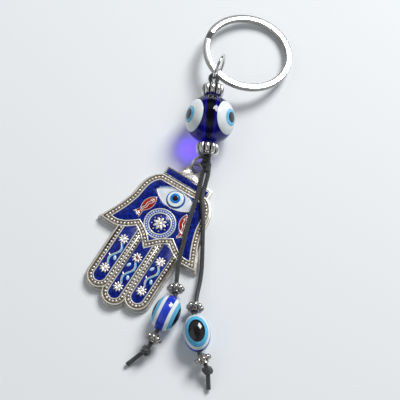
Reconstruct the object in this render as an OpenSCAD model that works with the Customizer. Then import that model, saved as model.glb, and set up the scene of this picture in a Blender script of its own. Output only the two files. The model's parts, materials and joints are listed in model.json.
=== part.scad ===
// Evil eye charm on a split key ring, lying on a flat surface: a cobalt glass eye bead between two
// ribbed spacers, a cast and enamelled hand-shaped pendant, and two waxed cord tails with eye beads.
// Millimetres. The origin is on the pendant's back, under the middle of its medallion.
// +Z is up from the surface, and +Y runs towards the key ring.

/* [Key ring] */
// Outside diameter of the split ring
key_ring_d = 30; // [25:0.5:36]
// Radial width of its flat wire
key_ring_band = 2.1; // [1.7:0.1:2.4]
// Thickness of one of its two turns
key_ring_turn = 1; // [0.8:0.05:1.2]
// Inside diameter of the link between the cord and the key ring
link_in_d = 7.5; // [7:0.1:9.2]
// Wire diameter of the link
link_wire_d = 1; // [0.8:0.05:1.2]

/* [Glass eye bead] */
// Diameter of the glass ball
ball_d = 16; // [13:0.5:19.5]
// Height of the applied eyes above the glass
eye_proud = 0.15; // [0.1:0.01:0.25]
// Diameter of each white disc
eye_white_d = 11; // [9:0.5:11.6]
// Diameter of each light blue disc
eye_blue_d = 6.2; // [5:0.2:7.4]
// Diameter of each pupil
eye_pupil_d = 3.9; // [3:0.1:4.6]

/* [Ribbed spacers] */
// Diameter over the ribs
spacer_d = 7.7; // [6.8:0.1:9.2]
// Length along the cord
spacer_len = 4.4; // [3.7:0.1:5.3]
// Number of ribs
spacer_ribs = 10; // [8:1:12]

/* [Cord] */
// Diameter of one strand of cord
cord_d = 1.4; // [1.2:0.05:1.65]
// Diameter of the doubled cord inside the glass ball
core_d = 2.6; // [2.2:0.1:3.1]
// Radial room between the doubled cord and what turns on it
core_room = 0.08; // [0.05:0.01:0.1]
// Radial room between a tail's cord and what turns on it
tail_room = 0.22; // [0.15:0.01:0.3]

/* [Tail beads] */
// Diameter of the oval beads
oval_d = 8.5; // [7.2:0.1:8.6]
// Length of the oval beads
oval_len = 11.8; // [9.8:0.1:11.9]
// Half thickness of the royal blue core
oval_core = 1.3; // [1:0.05:1.6]
// Thickness of each white layer
oval_white = 1.05; // [0.8:0.05:1.2]
// Thickness of each light blue layer
oval_blue = 1.05; // [0.8:0.05:1.2]
// Diameter of the flower spacers
flower_d = 5.7; // [4.8:0.1:6.8]
// Length of the flower spacers
flower_len = 3; // [2.5:0.1:3.1]
// Diameter of the end knots
end_knot_d = 3.6; // [3:0.1:4.3]

/* [Hand pendant] */
// Thickness of the casting up to its rims
hand_t = 2.6; // [2.4:0.1:3.1]
// Height of the stepped flange round the foot
flange_t = 1.3; // [1.1:0.1:1.5]
// Width of the stepped flange
flange_w = 0.6; // [0.4:0.05:0.8]
// Distance between neighbouring fingers
finger_pitch = 7; // [6.4:0.1:8.4]
// Width of the enamel in each finger
finger_enamel_w = 4; // [3.4:0.1:4.6]
// Width of the beaded border
border_w = 2.1; // [1.8:0.05:2.4]
// Width of the border's rims
rim_w = 0.35; // [0.25:0.05:0.4]
// Depth of the border's channel
channel_depth = 0.4; // [0.3:0.05:0.5]
// Depth of the enamel pockets
pocket_depth = 0.9; // [0.7:0.05:1]
// How far the enamel stays below the rims
enamel_drop = 0.1; // [0.05:0.01:0.2]
// Diameter of the medallion
medallion_d = 10.4; // [9.4:0.1:10.9]
// Diameter of the medallion's middle
medallion_mid_d = 7.6; // [6.4:0.1:8]
// Diameter of the glass eye in the palm
cabochon_d = 6.2; // [5.2:0.1:6.4]
// Thickness of the bail
bail_t = 1; // [0.8:0.05:1.05]
// Diameter of the hole in the bail
bail_hole_d = 3.2; // [3:0.1:3.9]
// Middle diameter of the jump ring in the bail
bail_ring_d = 5.4; // [5.2:0.1:5.6]
// Wire diameter of that jump ring
bail_wire_d = 1; // [0.8:0.05:1.1]

/* [Hidden] */
$fn = 48;

// Strand of ball and spacers. Its foot is the lower face of the bottom spacer.
strand_foot = [15, 21.4, 7.4];
strand_az = 5.1;
strand_gap = 0.15;
ball_r = ball_d / 2;
pole_r = 2.2;
eye_step = 0.05;
ball_half = sqrt(ball_r * ball_r - pole_r * pole_r);
foot_to_ball = spacer_len + strand_gap + ball_half;
strand_len = 2 * foot_to_ball;
table_gap = 0.05;
ball_z = ball_r + eye_proud + 2 * eye_step + table_gap;
strand_tilt = asin((ball_z - strand_foot[2]) / foot_to_ball);
strand_dir = [sin(strand_az) * cos(strand_tilt), cos(strand_az) * cos(strand_tilt), sin(strand_tilt)];
core_bore_r = core_d / 2 + core_room;
loop_foot = 0.9;

// Link and key ring, worked out from the top of the strand. The key ring passes through the link
// past the loop of cord, and a little lower than it.
link_az = 25;
link_r = (link_in_d + link_wire_d) / 2;
link_run = [sin(link_az), cos(link_az), 0];
loop_room = 0.05;
loop_r = (link_wire_d + cord_d) / 2 + loop_room;
loop_at = strand_foot + (strand_len + strand_gap + cord_d / 2 + loop_r) * strand_dir;
link_at = loop_at + link_r * link_run;
ring_az = 42;
ring_out_r = key_ring_d / 2;
ring_mid_r = ring_out_r - key_ring_band / 2;
ring_drop = key_ring_turn + 0.6;
ring_past_loop = loop_r + cord_d / 2 - 0.1;
ring_at_link = loop_at + (ring_past_loop + key_ring_band / 2) * link_run - [0, 0, ring_drop];
ring_reach = ring_out_r + ring_mid_r;
ring_tilt = asin(ring_at_link[2] / norm([ring_reach, key_ring_turn])) - atan(key_ring_turn / ring_reach);
ring_run = [cos(ring_az) * cos(ring_tilt), sin(ring_az) * cos(ring_tilt), -sin(ring_tilt)];
ring_at = ring_at_link + ring_mid_r * ring_run;

// Knot where the two strands part, and the jump ring that it grips.
knot_at = [14.7, 19.5, 4.6];
knot_r = 1.9;
knot_foot_at = [15.1, 17.9, 4.4];
knot_foot_r = 1.25;
knot_grip_at = [15, 20.7, 3.4];
knot_grip_r = 1;
neck_len = 1.1;
bail_ring_r = bail_ring_d / 2;
bail_ring_az = 25;
bail_ring_tilt = 45;
bail_ring_at = [12.9, 20, 2.75];

// Pendant, in its own frame: +Y towards the header, and turned on the surface by hand_az.
hand_az = 31.7;
pocket_z = hand_t - pocket_depth;
channel_z = hand_t - channel_depth;
enamel_z = hand_t - enamel_drop;
header_half = 7.9;
header_y = [15.2, 18];
bail_at = [0, 21.9];
bail_r = bail_hole_d / 2 + 0.95;
bail_foot_half = 4.5;
finger_r = finger_enamel_w / 2;
finger_out_r = finger_r + border_w;
finger_root_y = -3;
side_finger_y = -24.1;
middle_finger_y = -26.5;
palm_side = [
    [8.2, 15], [9.8, 13.9], [11.2, 12], [12.1, 9.8], [12.5, 7.3],
    [12.8, 4.6], [13.5, 2.1], [14.6, -1], [16, -4], [17.6, -7.5]
];
palm_thumb = [[12.4, -7.8], [10.2, -7.1], [8.2, -6.1], [6.1, -4.5]];
palm_arch = [[4.2, -5.6], [2.5, -7.1], [0, -9.8]];
eye_at = [0, 9.5];
eye_half = [7, 3.1];
fish_nose = [5.7, 6.9];
fish_lean = 18;
fish_len = 6.4;
fish_half_w = 1.55;
wall_w = 0.3;
cabochon_rise = 0.4;
cabochon_z = hand_t + cabochon_rise;
cabochon_white_t = 0.25;
cabochon_iris_t = 0.12;
cabochon_pupil_t = 0.1;
medallion_rim = 0.35;

// Routes of the tails, from the knot to the cut ends.
left_route = [
    [13.7, 16.9, 4.2], [12.9, 13.2, 3.6], [12, 9.4, 3.5], [10.9, 5.8, 3.5], [9.8, 2.2, 3.5],
    [8.7, -2, 3.5], [7.7, -6.2, 3.5], [6.8, -10.2, 3.5], [6.1, -13.8, 3.45], [5.7, -17, 3.4],
    [5.4, -20.2, 3.4], [5.1, -23.6, 4.1], [5, -24.4, 4.35], [3.5, -27.5, 4.35], [2, -30.6, 4.35],
    [0.5, -33.7, 4.35], [-1, -36.8, 4.35], [-2.5, -39.9, 4.35], [-3.9, -41.5, 3.7],
    [-5.7, -42.5, 2.7], [-7.7, -43.8, 1.5], [-9.7, -45.2, 0.9]
];
right_route = [
    [15.4, 16.4, 4.1], [14.4, 12.4, 3.5], [13.5, 9, 3.5], [13.6, 5, 3.5], [13.8, 1, 3.5],
    [13.7, -3, 3.4], [13.6, -7, 2.9], [13.5, -11, 2.3], [13.3, -15, 1.9], [12.8, -19, 1.9],
    [12, -22.8, 2.4], [11.5, -26.2, 3.1], [11, -29.6, 4.1], [11, -30.2, 4.35], [11.4, -33.2, 4.35],
    [11.8, -36.2, 4.35], [12.2, -39.2, 4.35], [12.6, -42.2, 4.35], [12.9, -42.8, 4.3],
    [14.4, -45.8, 3.9], [15.1, -47.6, 3.3], [15.3, -50.2, 1.9], [15.4, -53, 0.9]
];
left_flower_top = [5.4, -20.2, 3.4];
left_flower_end = [5.1, -23.6, 4.1];
left_axis_top = [5, -24.4, 4.35];
left_axis_end = [-2.5, -39.9, 4.35];
right_flower_top = [11.5, -26.2, 3.1];
right_flower_end = [11, -29.6, 4.1];
right_axis_top = [11, -30.2, 4.35];
right_axis_end = [12.6, -42.2, 4.35];
right_lower_top = [12.9, -42.8, 4.3];
right_lower_end = [14.4, -45.8, 3.9];
left_knot_at = [-3.9, -41.5, 3.7];
right_knot_at = [15.1, -47.6, 3.3];
tail_bore_r = cord_d / 2 + tail_room;
bead_gap = 0.15;
flower_gap = 1.6;

// Curves and outlines

function unit(v) = v / norm(v);

// Point at t, from 0 to 1, between p[i] and p[i + 1] of a smooth curve through all of p.
function curve_point(p, i, t) =
    let (
        a = p[max(i - 1, 0)],
        b = p[i],
        c = p[i + 1],
        d = p[min(i + 2, len(p) - 1)]
    )
    0.5 * (2 * b + (c - a) * t + (2 * a - 5 * b + 4 * c - d) * t * t + (3 * b - a - 3 * c + d) * t * t * t);

// Smooth curve through p, without its last point.
function curve(p, steps) = [
    for (i = [0 : len(p) - 2])
        for (k = [0 : steps - 1])
            curve_point(p, i, k / steps)
];

function mirrored(p) = [for (i = [len(p) - 1 : -1 : 0]) [-p[i][0], p[i][1]]];

// Clockwise outline moved inwards by d, or outwards if d is negative.
function inset(p, d) = [
    for (i = [0 : len(p) - 1])
        let (
            a = unit(p[i] - p[(i + len(p) - 1) % len(p)]),
            b = unit(p[(i + 1) % len(p)] - p[i]),
            m = [a[1], -a[0]],
            n = [b[1], -b[0]]
        )
        p[i] + d * (m + n) / (1 + m * n)
];

function part_of(p, first, last) = [for (i = [first : last]) p[i]];

// Palm outline moved inwards by d. It has corners at the thumb tips, the arches' tops and the middle.
function palm_points(d) =
    let (
        half = concat(palm_side, palm_thumb, palm_arch),
        tip = len(palm_side) - 1,
        top = tip + len(palm_thumb),
        foot = top + len(palm_arch),
        c = inset(concat(half, mirrored(part_of(half, 0, foot - 1))), d),
        right = concat(
            curve(part_of(c, 0, tip), 3),
            curve(part_of(c, tip, top), 2),
            curve(part_of(c, top, foot), 2)
        )
    )
    concat(right, [c[foot]], mirrored(right));

// Lens with its tips on the X axis, from two arcs.
module lens(half_len, half_w) {
    r = (half_len * half_len + half_w * half_w) / (2 * half_w);
    intersection() {
        translate([0, half_w - r]) circle(r, $fn = 96);
        translate([0, r - half_w]) circle(r, $fn = 96);
    }
}

// Places its children on a line from a to b, at distance s, with +Z along the line.
module along(a, b, s) {
    v = unit(b - a);
    translate(a + s * v) rotate([0, acos(v[2]), atan2(v[1], v[0])]) children();
}

module on_strand(s) {
    translate(strand_foot + s * strand_dir) rotate([strand_tilt - 90, 0, -strand_az]) children();
}

// Tube of cord along a route, as one closed surface.
function ring_frame(v) = let (s = unit(cross([0, 0, 1], v))) [s, cross(v, s)];
cord_sides = 8;

module tube(route, d) {
    n = len(route);
    points = [
        for (i = [0 : n - 1])
            let (
                v = unit(route[min(i + 1, n - 1)] - route[max(i - 1, 0)]),
                f = ring_frame(v)
            )
            for (k = [0 : cord_sides - 1])
                let (a = 360 * k / cord_sides)
                route[i] + d / 2 * (cos(a) * f[0] + sin(a) * f[1])
    ];
    walls = [
        for (i = [0 : n - 2])
            for (k = [0 : cord_sides - 1])
                let (a = i * cord_sides + k, b = i * cord_sides + (k + 1) % cord_sides)
                for (f = [[a, a + cord_sides, b], [b, a + cord_sides, b + cord_sides]])
                    f
    ];
    start = [[for (k = [0 : cord_sides - 1]) k]];
    end = [[for (k = [cord_sides - 1 : -1 : 0]) (n - 1) * cord_sides + k]];
    polyhedron(points, concat(walls, start, end));
}

// Key ring and link

module turn_profile() {
    corner = 0.28;
    turns_apart = 0.06;
    w = key_ring_band;
    h = key_ring_turn - turns_apart;
    translate([-w / 2 + corner, -h / 2]) square([w - 2 * corner, h]);
    translate([-w / 2, -h / 2 + corner]) square([w, h - 2 * corner]);
    for (x = [-1, 1])
        for (y = [-1, 1])
            translate([x * (w / 2 - corner), y * (h / 2 - corner)]) circle(corner, $fn = 24);
}

module key_ring() {
    end_gap = 4;
    end_at = 157;
    web_inset = 0.35;
    web_t = 0.2;
    color("gainsboro")
    translate(ring_at) rotate(ring_tilt, [-sin(ring_az), cos(ring_az), 0]) rotate(end_at)
    union() {
        rotate(end_gap) rotate_extrude(angle = 360 - end_gap, $fn = 96)
            translate([ring_mid_r, key_ring_turn / 2]) turn_profile();
        rotate_extrude(angle = 360 - end_gap, $fn = 96)
            translate([ring_mid_r, -key_ring_turn / 2]) turn_profile();
        rotate(90) rotate_extrude(angle = 180, $fn = 96)
            translate([ring_mid_r - key_ring_band / 2 + web_inset, -web_t / 2])
                square([key_ring_band - 2 * web_inset, web_t]);
    }
}

module link_ring() {
    cut = 0.15;
    cut_at = 130;
    color("silver")
    translate(link_at) rotate([0, 90, -link_az])
    difference() {
        rotate_extrude($fn = 96) translate([link_r, 0]) circle(link_wire_d / 2, $fn = 32);
        rotate(cut_at) translate([link_r - link_wire_d, -cut / 2, -link_wire_d])
            cube([2 * link_wire_d, cut, 2 * link_wire_d]);
    }
}

module link_loop() {
    color("#1c1c1f")
    translate(loop_at) rotate_extrude($fn = 64) translate([loop_r, 0]) circle(cord_d / 2, $fn = 24);
}

// Strand

module core_cord() {
    neck_at = strand_foot - neck_len * strand_dir;
    color("#1c1c1f")
    union() {
        on_strand(-neck_len) cylinder(r = core_d / 2, h = neck_len + strand_len + loop_foot);
        translate(neck_at) sphere(core_d / 2);
        along(neck_at, knot_at, 0) cylinder(r = core_d / 2, h = norm(knot_at - neck_at));
    }
}

module ribbed_spacer() {
    half = spacer_len / 2;
    rib_r = spacer_d / 2;
    neck_r = core_bore_r + 0.6;
    shoulder_r = 0.82 * rib_r;
    shoulder = 0.62 * half;
    flat = 0.2 * half;
    groove_r = 0.9 * rib_r * sin(90 / spacer_ribs);
    color("silver")
    difference() {
        rotate_extrude($fn = 64)
            polygon([
                [0, -half], [neck_r, -half], [shoulder_r, -shoulder], [rib_r, -flat],
                [rib_r, flat], [shoulder_r, shoulder], [neck_r, half], [0, half]
            ]);
        for (i = [0 : spacer_ribs - 1])
            rotate(360 * i / spacer_ribs) translate([rib_r, 0, 0])
                cylinder(r = groove_r, h = spacer_len + 1, center = true, $fn = 24);
        cylinder(r = core_bore_r, h = spacer_len + 1, center = true);
    }
}

module bottom_spacer() {
    on_strand(spacer_len / 2) ribbed_spacer();
}

module top_spacer() {
    on_strand(strand_len - spacer_len / 2) ribbed_spacer();
}

module glass_ball() {
    color("#1624b4")
    on_strand(foot_to_ball)
    difference() {
        sphere(ball_r, $fn = 96);
        cylinder(r = core_bore_r, h = ball_d, center = true);
        for (s = [-1, 1])
            translate([0, 0, s * (ball_half + ball_r)]) cube(2 * ball_r, center = true);
    }
}

// Shell between two diameters of the ball's eyes, on all three sides.
module ball_eyes(out_d, in_d, rise) {
    on_strand(foot_to_ball)
    for (a = [-30, 90, 210])
        rotate([0, 90, a])
        difference() {
            intersection() {
                sphere(ball_r + rise, $fn = 96);
                cylinder(r = out_d / 2, h = 2 * ball_r);
            }
            sphere(ball_r, $fn = 96);
            if (in_d > 0)
                cylinder(r = in_d / 2, h = 2 * ball_r);
        }
}

module ball_eye_whites() {
    color("white") ball_eyes(eye_white_d, eye_blue_d, eye_proud);
}

module ball_eye_blues() {
    color("#4fb3e3") ball_eyes(eye_blue_d, eye_pupil_d, eye_proud + eye_step);
}

module ball_eye_pupils() {
    color("#101018") ball_eyes(eye_pupil_d, 0, eye_proud + 2 * eye_step);
}

module center_knot() {
    color("#1c1c1f")
    union() {
        translate(knot_at) sphere(knot_r);
        translate(knot_foot_at) sphere(knot_foot_r);
        translate(knot_grip_at) sphere(knot_grip_r);
    }
}

module bail_ring() {
    color("silver")
    translate(bail_ring_at) rotate([0, 0, bail_ring_az]) rotate([bail_ring_tilt, 0, 0])
        rotate_extrude($fn = 96) translate([bail_ring_r, 0]) circle(bail_wire_d / 2, $fn = 32);
}

// Hand pendant

module on_hand(z) {
    rotate(-hand_az) translate([0, 0, z]) children();
}

module palm(d) {
    polygon(palm_points(d));
}

function finger_y(i) = i == 0 ? middle_finger_y : side_finger_y;

module finger(i, r) {
    translate([i * finger_pitch, finger_y(i)]) circle(r);
    translate([i * finger_pitch - r, finger_y(i)]) square([2 * r, finger_root_y - finger_y(i)]);
}

module header(d) {
    translate([-header_half + d, header_y[0] - 1 + d])
        square([2 * (header_half - d), header_y[1] - header_y[0] + 1 - 2 * d]);
}

module header_pocket() {
    translate([-header_half + rim_w, header_y[0] + rim_w])
        square([2 * (header_half - rim_w), header_y[1] - header_y[0] - 2 * rim_w]);
}

module outline(d) {
    palm(d);
    header(d);
    for (i = [-1 : 1])
        finger(i, finger_out_r - d);
}

module finger_pocket(i) {
    difference() {
        finger(i, finger_r);
        palm(0);
    }
}

// Rims on both edges of the border, and one between neighbouring fingers.
module palm_rims() {
    difference() {
        palm(0);
        palm(rim_w);
    }
    difference() {
        palm(border_w - rim_w);
        palm(border_w);
        circle(medallion_d / 2);
    }
}

module finger_rims() {
    middle_rim_past = 2.5;
    middle_rim_len = 20;
    difference() {
        union() {
            difference() {
                for (i = [-1 : 1])
                    finger(i, finger_out_r);
                for (i = [-1 : 1])
                    finger(i, finger_out_r - rim_w);
            }
            for (i = [-1 : 1])
                difference() {
                    finger(i, finger_r + rim_w);
                    finger(i, finger_r);
                }
            for (s = [-1, 1])
                translate([s * finger_pitch / 2 - rim_w / 2, side_finger_y - middle_rim_past])
                    square([rim_w, middle_rim_len]);
        }
        palm(0);
    }
}

module eye_shape(grow) {
    translate(eye_at) lens(eye_half[0] + 2 * grow, eye_half[1] + grow);
}

// One fish, nose up, leaning outwards on the side s.
module fish_shape(s, grow) {
    root_y = 0.8 - fish_len / 2;
    root_half = 0.4 + grow;
    fork_half = 1.3 + grow;
    fork_depth = 0.7;
    tail_at = -fish_len / 2 - 1.9 - grow;
    translate([s * fish_nose[0], fish_nose[1]]) rotate(s * fish_lean) translate([0, -fish_len / 2])
    union() {
        rotate(90) lens(fish_len / 2 + 1.5 * grow, fish_half_w + grow);
        polygon([[-root_half, root_y], [root_half, root_y], [fork_half, tail_at],
            [0, tail_at + fork_depth], [-fork_half, tail_at]]);
    }
}

module bail_shape() {
    difference() {
        union() {
            translate(bail_at) circle(bail_r);
            polygon([[-bail_foot_half, header_y[1] - rim_w], [bail_foot_half, header_y[1] - rim_w],
                [bail_r - 0.3, bail_at[1] + 0.6], [-bail_r + 0.3, bail_at[1] + 0.6]]);
        }
        translate(bail_at) circle(bail_hole_d / 2);
    }
}

// Walls that part the palm's enamels
module palm_walls() {
    difference() {
        union() {
            difference() {
                eye_shape(wall_w / 2);
                eye_shape(0);
            }
            for (s = [-1, 1])
                difference() {
                    fish_shape(s, wall_w / 2);
                    fish_shape(s, 0);
                }
        }
        circle(medallion_d / 2);
        translate(eye_at) circle(cabochon_d / 2);
    }
    difference() {
        circle(medallion_d / 2);
        circle(medallion_d / 2 - medallion_rim);
    }
    difference() {
        circle(medallion_mid_d / 2);
        circle(medallion_mid_d / 2 - medallion_rim);
    }
}

module hand_casting() {
    color("#b9b6ad")
    on_hand(0)
    union() {
        linear_extrude(flange_t) outline(-flange_w);
        linear_extrude(pocket_z) outline(0);
    }
}

module header_bail() {
    color("#b9b6ad")
    on_hand(0)
    union() {
        translate([0, 0, pocket_z]) linear_extrude(hand_t - pocket_z) difference() {
            header(0);
            header_pocket();
            palm(0);
        }
        difference() {
            translate([0, 0, hand_t - bail_t]) linear_extrude(bail_t) bail_shape();
            linear_extrude(pocket_z) header(0);
        }
    }
}

module hand_border() {
    color("#8d8a80")
    on_hand(pocket_z) linear_extrude(channel_z - pocket_z)
    difference() {
        union() {
            palm(0);
            for (i = [-1 : 1])
                finger(i, finger_out_r);
        }
        palm(border_w);
        circle(medallion_d / 2);
        for (i = [-1 : 1])
            finger_pocket(i);
    }
}

module border_rims() {
    color("#d2cfc6")
    on_hand(channel_z) linear_extrude(channel_depth)
    union() {
        palm_rims();
        finger_rims();
    }
}

module palm_cells() {
    color("#d2cfc6") on_hand(pocket_z) linear_extrude(hand_t - pocket_z) palm_walls();
}

module enamel() {
    on_hand(pocket_z) linear_extrude(enamel_z - pocket_z) children();
}

module header_enamel() {
    color("#10146e") enamel() header_pocket();
}

module palm_enamel() {
    color("#10146e")
    enamel()
    difference() {
        palm(border_w);
        eye_shape(wall_w / 2);
        for (s = [-1, 1])
            fish_shape(s, wall_w / 2);
        circle(medallion_d / 2);
        translate(eye_at) circle(cabochon_d / 2);
    }
}

module finger_enamel(i) {
    color("#10146e") enamel() finger_pocket(i);
}

module finger_enamel_left() {
    finger_enamel(-1);
}

module finger_enamel_middle() {
    finger_enamel(0);
}

module finger_enamel_right() {
    finger_enamel(1);
}

module eye_enamel() {
    color("whitesmoke")
    enamel()
    difference() {
        eye_shape(0);
        translate(eye_at) circle(cabochon_d / 2);
        circle(medallion_d / 2);
    }
}

module red_fish_left() {
    color("#b3231c") enamel() fish_shape(-1, 0);
}

module red_fish_right() {
    color("#b3231c") enamel() fish_shape(1, 0);
}

// Glass eye of the palm: a disc, and thin layers on it
module cabochon_layer(d, z, t) {
    on_hand(z) translate(eye_at) cylinder(r1 = d / 2, r2 = d / 2 - 0.4 * t, h = t);
}

module cabochon_glass() {
    color("#1b2fa8") cabochon_layer(cabochon_d, pocket_z, hand_t - pocket_z + cabochon_rise);
}

module cabochon_white() {
    color("white") cabochon_layer(0.84 * cabochon_d, cabochon_z, cabochon_white_t);
}

module cabochon_iris() {
    color("#4fb3e3") cabochon_layer(0.53 * cabochon_d, cabochon_z + cabochon_white_t, cabochon_iris_t);
}

module cabochon_pupil() {
    color("#101018")
        cabochon_layer(0.29 * cabochon_d, cabochon_z + cabochon_white_t + cabochon_iris_t, cabochon_pupil_t);
}

module medallion_band() {
    color("#1a3a9a")
    enamel()
    difference() {
        circle(medallion_d / 2 - medallion_rim);
        circle(medallion_mid_d / 2);
    }
}

module medallion_disc() {
    color("#10146e") enamel() circle(medallion_mid_d / 2 - medallion_rim);
}

module medallion_rosette() {
    petals = 8;
    color("silver")
    on_hand(enamel_z) linear_extrude(0.25)
    union() {
        circle(0.7);
        for (i = [0 : petals - 1])
            rotate(360 * i / petals) translate([1.35, 0]) lens(0.9, 0.42);
    }
}

// Nine-pointed flower
module star(r_out, r_in) {
    points = 9;
    polygon([
        for (i = [0 : 2 * points - 1])
            let (r = i % 2 == 0 ? r_out : r_in, a = 180 * i / points)
            [r * cos(a), r * sin(a)]
    ]);
}

module finger_flowers() {
    color("silver")
    on_hand(enamel_z) linear_extrude(0.3)
    for (f = [[-1, -10.4], [-1, -21.4], [0, -13.4], [0, -24.4], [1, -10.8], [1, -21.8]])
        translate([f[0] * finger_pitch, f[1]]) star(1.25, 0.75);
}

// S-shaped stem between two flowers
module vine(low, high) {
    w = 0.3;
    swing = 0.85;
    steps = 16;
    side = [
        for (k = [0 : steps])
            let (t = k / steps)
            [-swing * sin(360 * t), low + (high - low) * t]
    ];
    back = [for (k = [steps : -1 : 0]) side[k] + [w, 0.12]];
    polygon(concat(side, back));
}

module finger_vines() {
    color("silver")
    on_hand(enamel_z) linear_extrude(0.2)
    for (f = [[-1, -19.9, -11.9], [0, -22.9, -14.9], [1, -20.3, -12.3]])
        translate([f[0] * finger_pitch, 0]) vine(f[1], f[2]);
}

module drop() {
    circle(0.45);
    polygon([[-0.44, 0.1], [0.44, 0.1], [0, 1.1]]);
}

module enamel_drops() {
    color("#bfe0f2")
    on_hand(enamel_z) linear_extrude(0.2)
    for (f = [[-1, 1, -17.2], [0, -1, -16.8], [0, 1, -20.6], [1, -1, -14.2], [1, 1, -18]])
        translate([f[0] * finger_pitch + f[1], f[2]]) rotate(25 * f[1]) drop();
}

// Cord tails

module flower_spacer() {
    bumps = 8;
    bump_r = 0.28 * flower_d / 2;
    bump_at = flower_d / 2 - bump_r;
    body_half = 0.3 * flower_len;
    edge_half = 0.1 * flower_len;
    face_r = 0.55 * bump_at;
    color("#8c8a84")
    difference() {
        union() {
            rotate_extrude()
                polygon([[0, -body_half], [face_r, -body_half], [bump_at, -edge_half],
                    [bump_at, edge_half], [face_r, body_half], [0, body_half]]);
            cylinder(r = tail_bore_r + 0.35, h = flower_len, center = true);
            for (i = [0 : bumps - 1])
                rotate(360 * i / bumps) translate([bump_at, 0, 0]) sphere(bump_r, $fn = 24);
        }
        cylinder(r = tail_bore_r, h = flower_len + 1, center = true);
    }
}

module left_upper_flower() {
    along(left_flower_top, left_flower_end, norm(left_flower_end - left_flower_top) / 2) flower_spacer();
}

module left_lower_flower() {
    along(left_axis_top, left_axis_end, oval_len + flower_gap + flower_len / 2) flower_spacer();
}

module right_upper_flower() {
    along(right_flower_top, right_flower_end, norm(right_flower_end - right_flower_top) / 2) flower_spacer();
}

module right_lower_flower() {
    along(right_lower_top, right_lower_end, norm(right_lower_end - right_lower_top) / 2) flower_spacer();
}

// Slabs of an oval bead between two distances from its middle, measured along the eyes' axis
module oval_slabs(low, high) {
    step = 15;
    difference() {
        intersection() {
            rotate_extrude($fn = 64)
                polygon([for (a = [-90 : step : 90]) [oval_d / 2 * cos(a), oval_len / 2 * sin(a)]]);
            union() {
                if (low <= 0)
                    translate([-high, -oval_d, -oval_len]) cube([2 * high, 2 * oval_d, 2 * oval_len]);
                else
                    for (s = [0, 180])
                        rotate(s) translate([low, -oval_d, -oval_len])
                            cube([high - low, 2 * oval_d, 2 * oval_len]);
            }
        }
        cylinder(r = tail_bore_r, h = 2 * oval_len, center = true);
    }
}

module left_bead(low, high) {
    along(left_axis_top, left_axis_end, bead_gap + oval_len / 2) rotate(90) oval_slabs(low, high);
}

module right_bead(low, high) {
    along(right_axis_top, right_axis_end, bead_gap + oval_len / 2) oval_slabs(low, high);
}

white_top = oval_core + oval_white;
blue_top = white_top + oval_blue;

module left_bead_core() {
    color("#1b2fa8") left_bead(0, oval_core);
}

module left_bead_whites() {
    color("white") left_bead(oval_core, white_top);
}

module left_bead_blues() {
    color("#4fb3e3") left_bead(white_top, blue_top);
}

module left_bead_caps() {
    color("#101018") left_bead(blue_top, oval_d);
}

module right_bead_core() {
    color("#1b2fa8") right_bead(0, oval_core);
}

module right_bead_whites() {
    color("white") right_bead(oval_core, white_top);
}

module right_bead_blues() {
    color("#4fb3e3") right_bead(white_top, blue_top);
}

module right_bead_caps() {
    color("#101018") right_bead(blue_top, oval_d);
}

module left_tail_cord() {
    color("#2b2b30") tube(left_route, cord_d);
}

module right_tail_cord() {
    color("#2b2b30") tube(right_route, cord_d);
}

module left_end_knot() {
    color("#1c1c1f") translate(left_knot_at) sphere(end_knot_d / 2);
}

module right_end_knot() {
    color("#1c1c1f") translate(right_knot_at) sphere(end_knot_d / 2);
}

key_ring();
link_ring();
link_loop();
core_cord();
top_spacer();
glass_ball();
ball_eye_whites();
ball_eye_blues();
ball_eye_pupils();
bottom_spacer();
center_knot();
bail_ring();
hand_casting();
header_bail();
hand_border();
border_rims();
palm_cells();
header_enamel();
palm_enamel();
finger_enamel_left();
finger_enamel_middle();
finger_enamel_right();
eye_enamel();
cabochon_glass();
cabochon_white();
cabochon_iris();
cabochon_pupil();
red_fish_left();
red_fish_right();
medallion_band();
medallion_disc();
medallion_rosette();
finger_flowers();
finger_vines();
enamel_drops();
left_tail_cord();
left_upper_flower();
left_bead_core();
left_bead_whites();
left_bead_blues();
left_bead_caps();
left_lower_flower();
left_end_knot();
right_tail_cord();
right_upper_flower();
right_bead_core();
right_bead_whites();
right_bead_blues();
right_bead_caps();
right_lower_flower();
right_end_knot();
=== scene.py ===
"""Looks of an evil eye charm on a split key ring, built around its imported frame.

Lengths in this file are in millimetres and become metres where a mesh is made. The hand pendant is drawn
in its own axes, with +Y towards its header, and the tails repeat the routes of the model's cords.
"""

import json
import logging
import math
from collections.abc import Callable
from dataclasses import dataclass
from enum import Enum

import bmesh
import bpy
from mathutils import Matrix, Vector


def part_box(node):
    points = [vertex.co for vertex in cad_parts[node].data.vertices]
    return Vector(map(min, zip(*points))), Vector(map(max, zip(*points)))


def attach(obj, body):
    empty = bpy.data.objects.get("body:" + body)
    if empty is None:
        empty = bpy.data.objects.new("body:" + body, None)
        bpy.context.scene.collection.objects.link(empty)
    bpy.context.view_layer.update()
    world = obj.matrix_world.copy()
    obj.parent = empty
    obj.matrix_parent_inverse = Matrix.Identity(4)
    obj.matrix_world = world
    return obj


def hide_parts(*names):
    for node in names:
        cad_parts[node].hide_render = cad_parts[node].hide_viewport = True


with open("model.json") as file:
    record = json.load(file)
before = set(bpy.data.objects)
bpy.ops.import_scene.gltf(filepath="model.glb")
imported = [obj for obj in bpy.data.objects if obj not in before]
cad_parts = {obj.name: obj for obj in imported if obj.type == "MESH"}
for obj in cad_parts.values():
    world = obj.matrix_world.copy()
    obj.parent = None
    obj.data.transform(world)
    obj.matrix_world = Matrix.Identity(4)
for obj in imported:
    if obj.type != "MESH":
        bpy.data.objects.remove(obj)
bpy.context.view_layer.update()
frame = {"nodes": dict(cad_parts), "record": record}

MM = 0.001
UP = Vector((0, 0, 1))
# Name of the mesh attribute that holds painted shade (dark grooves, lower halves of beads, the key ring's
# edge lines and cut ends), and also the patina in the flower spacers' hollows.
PAINTED_SHADE_AND_TARNISH = "painted_shade_and_tarnish"
log = logging.getLogger("charm")

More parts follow.
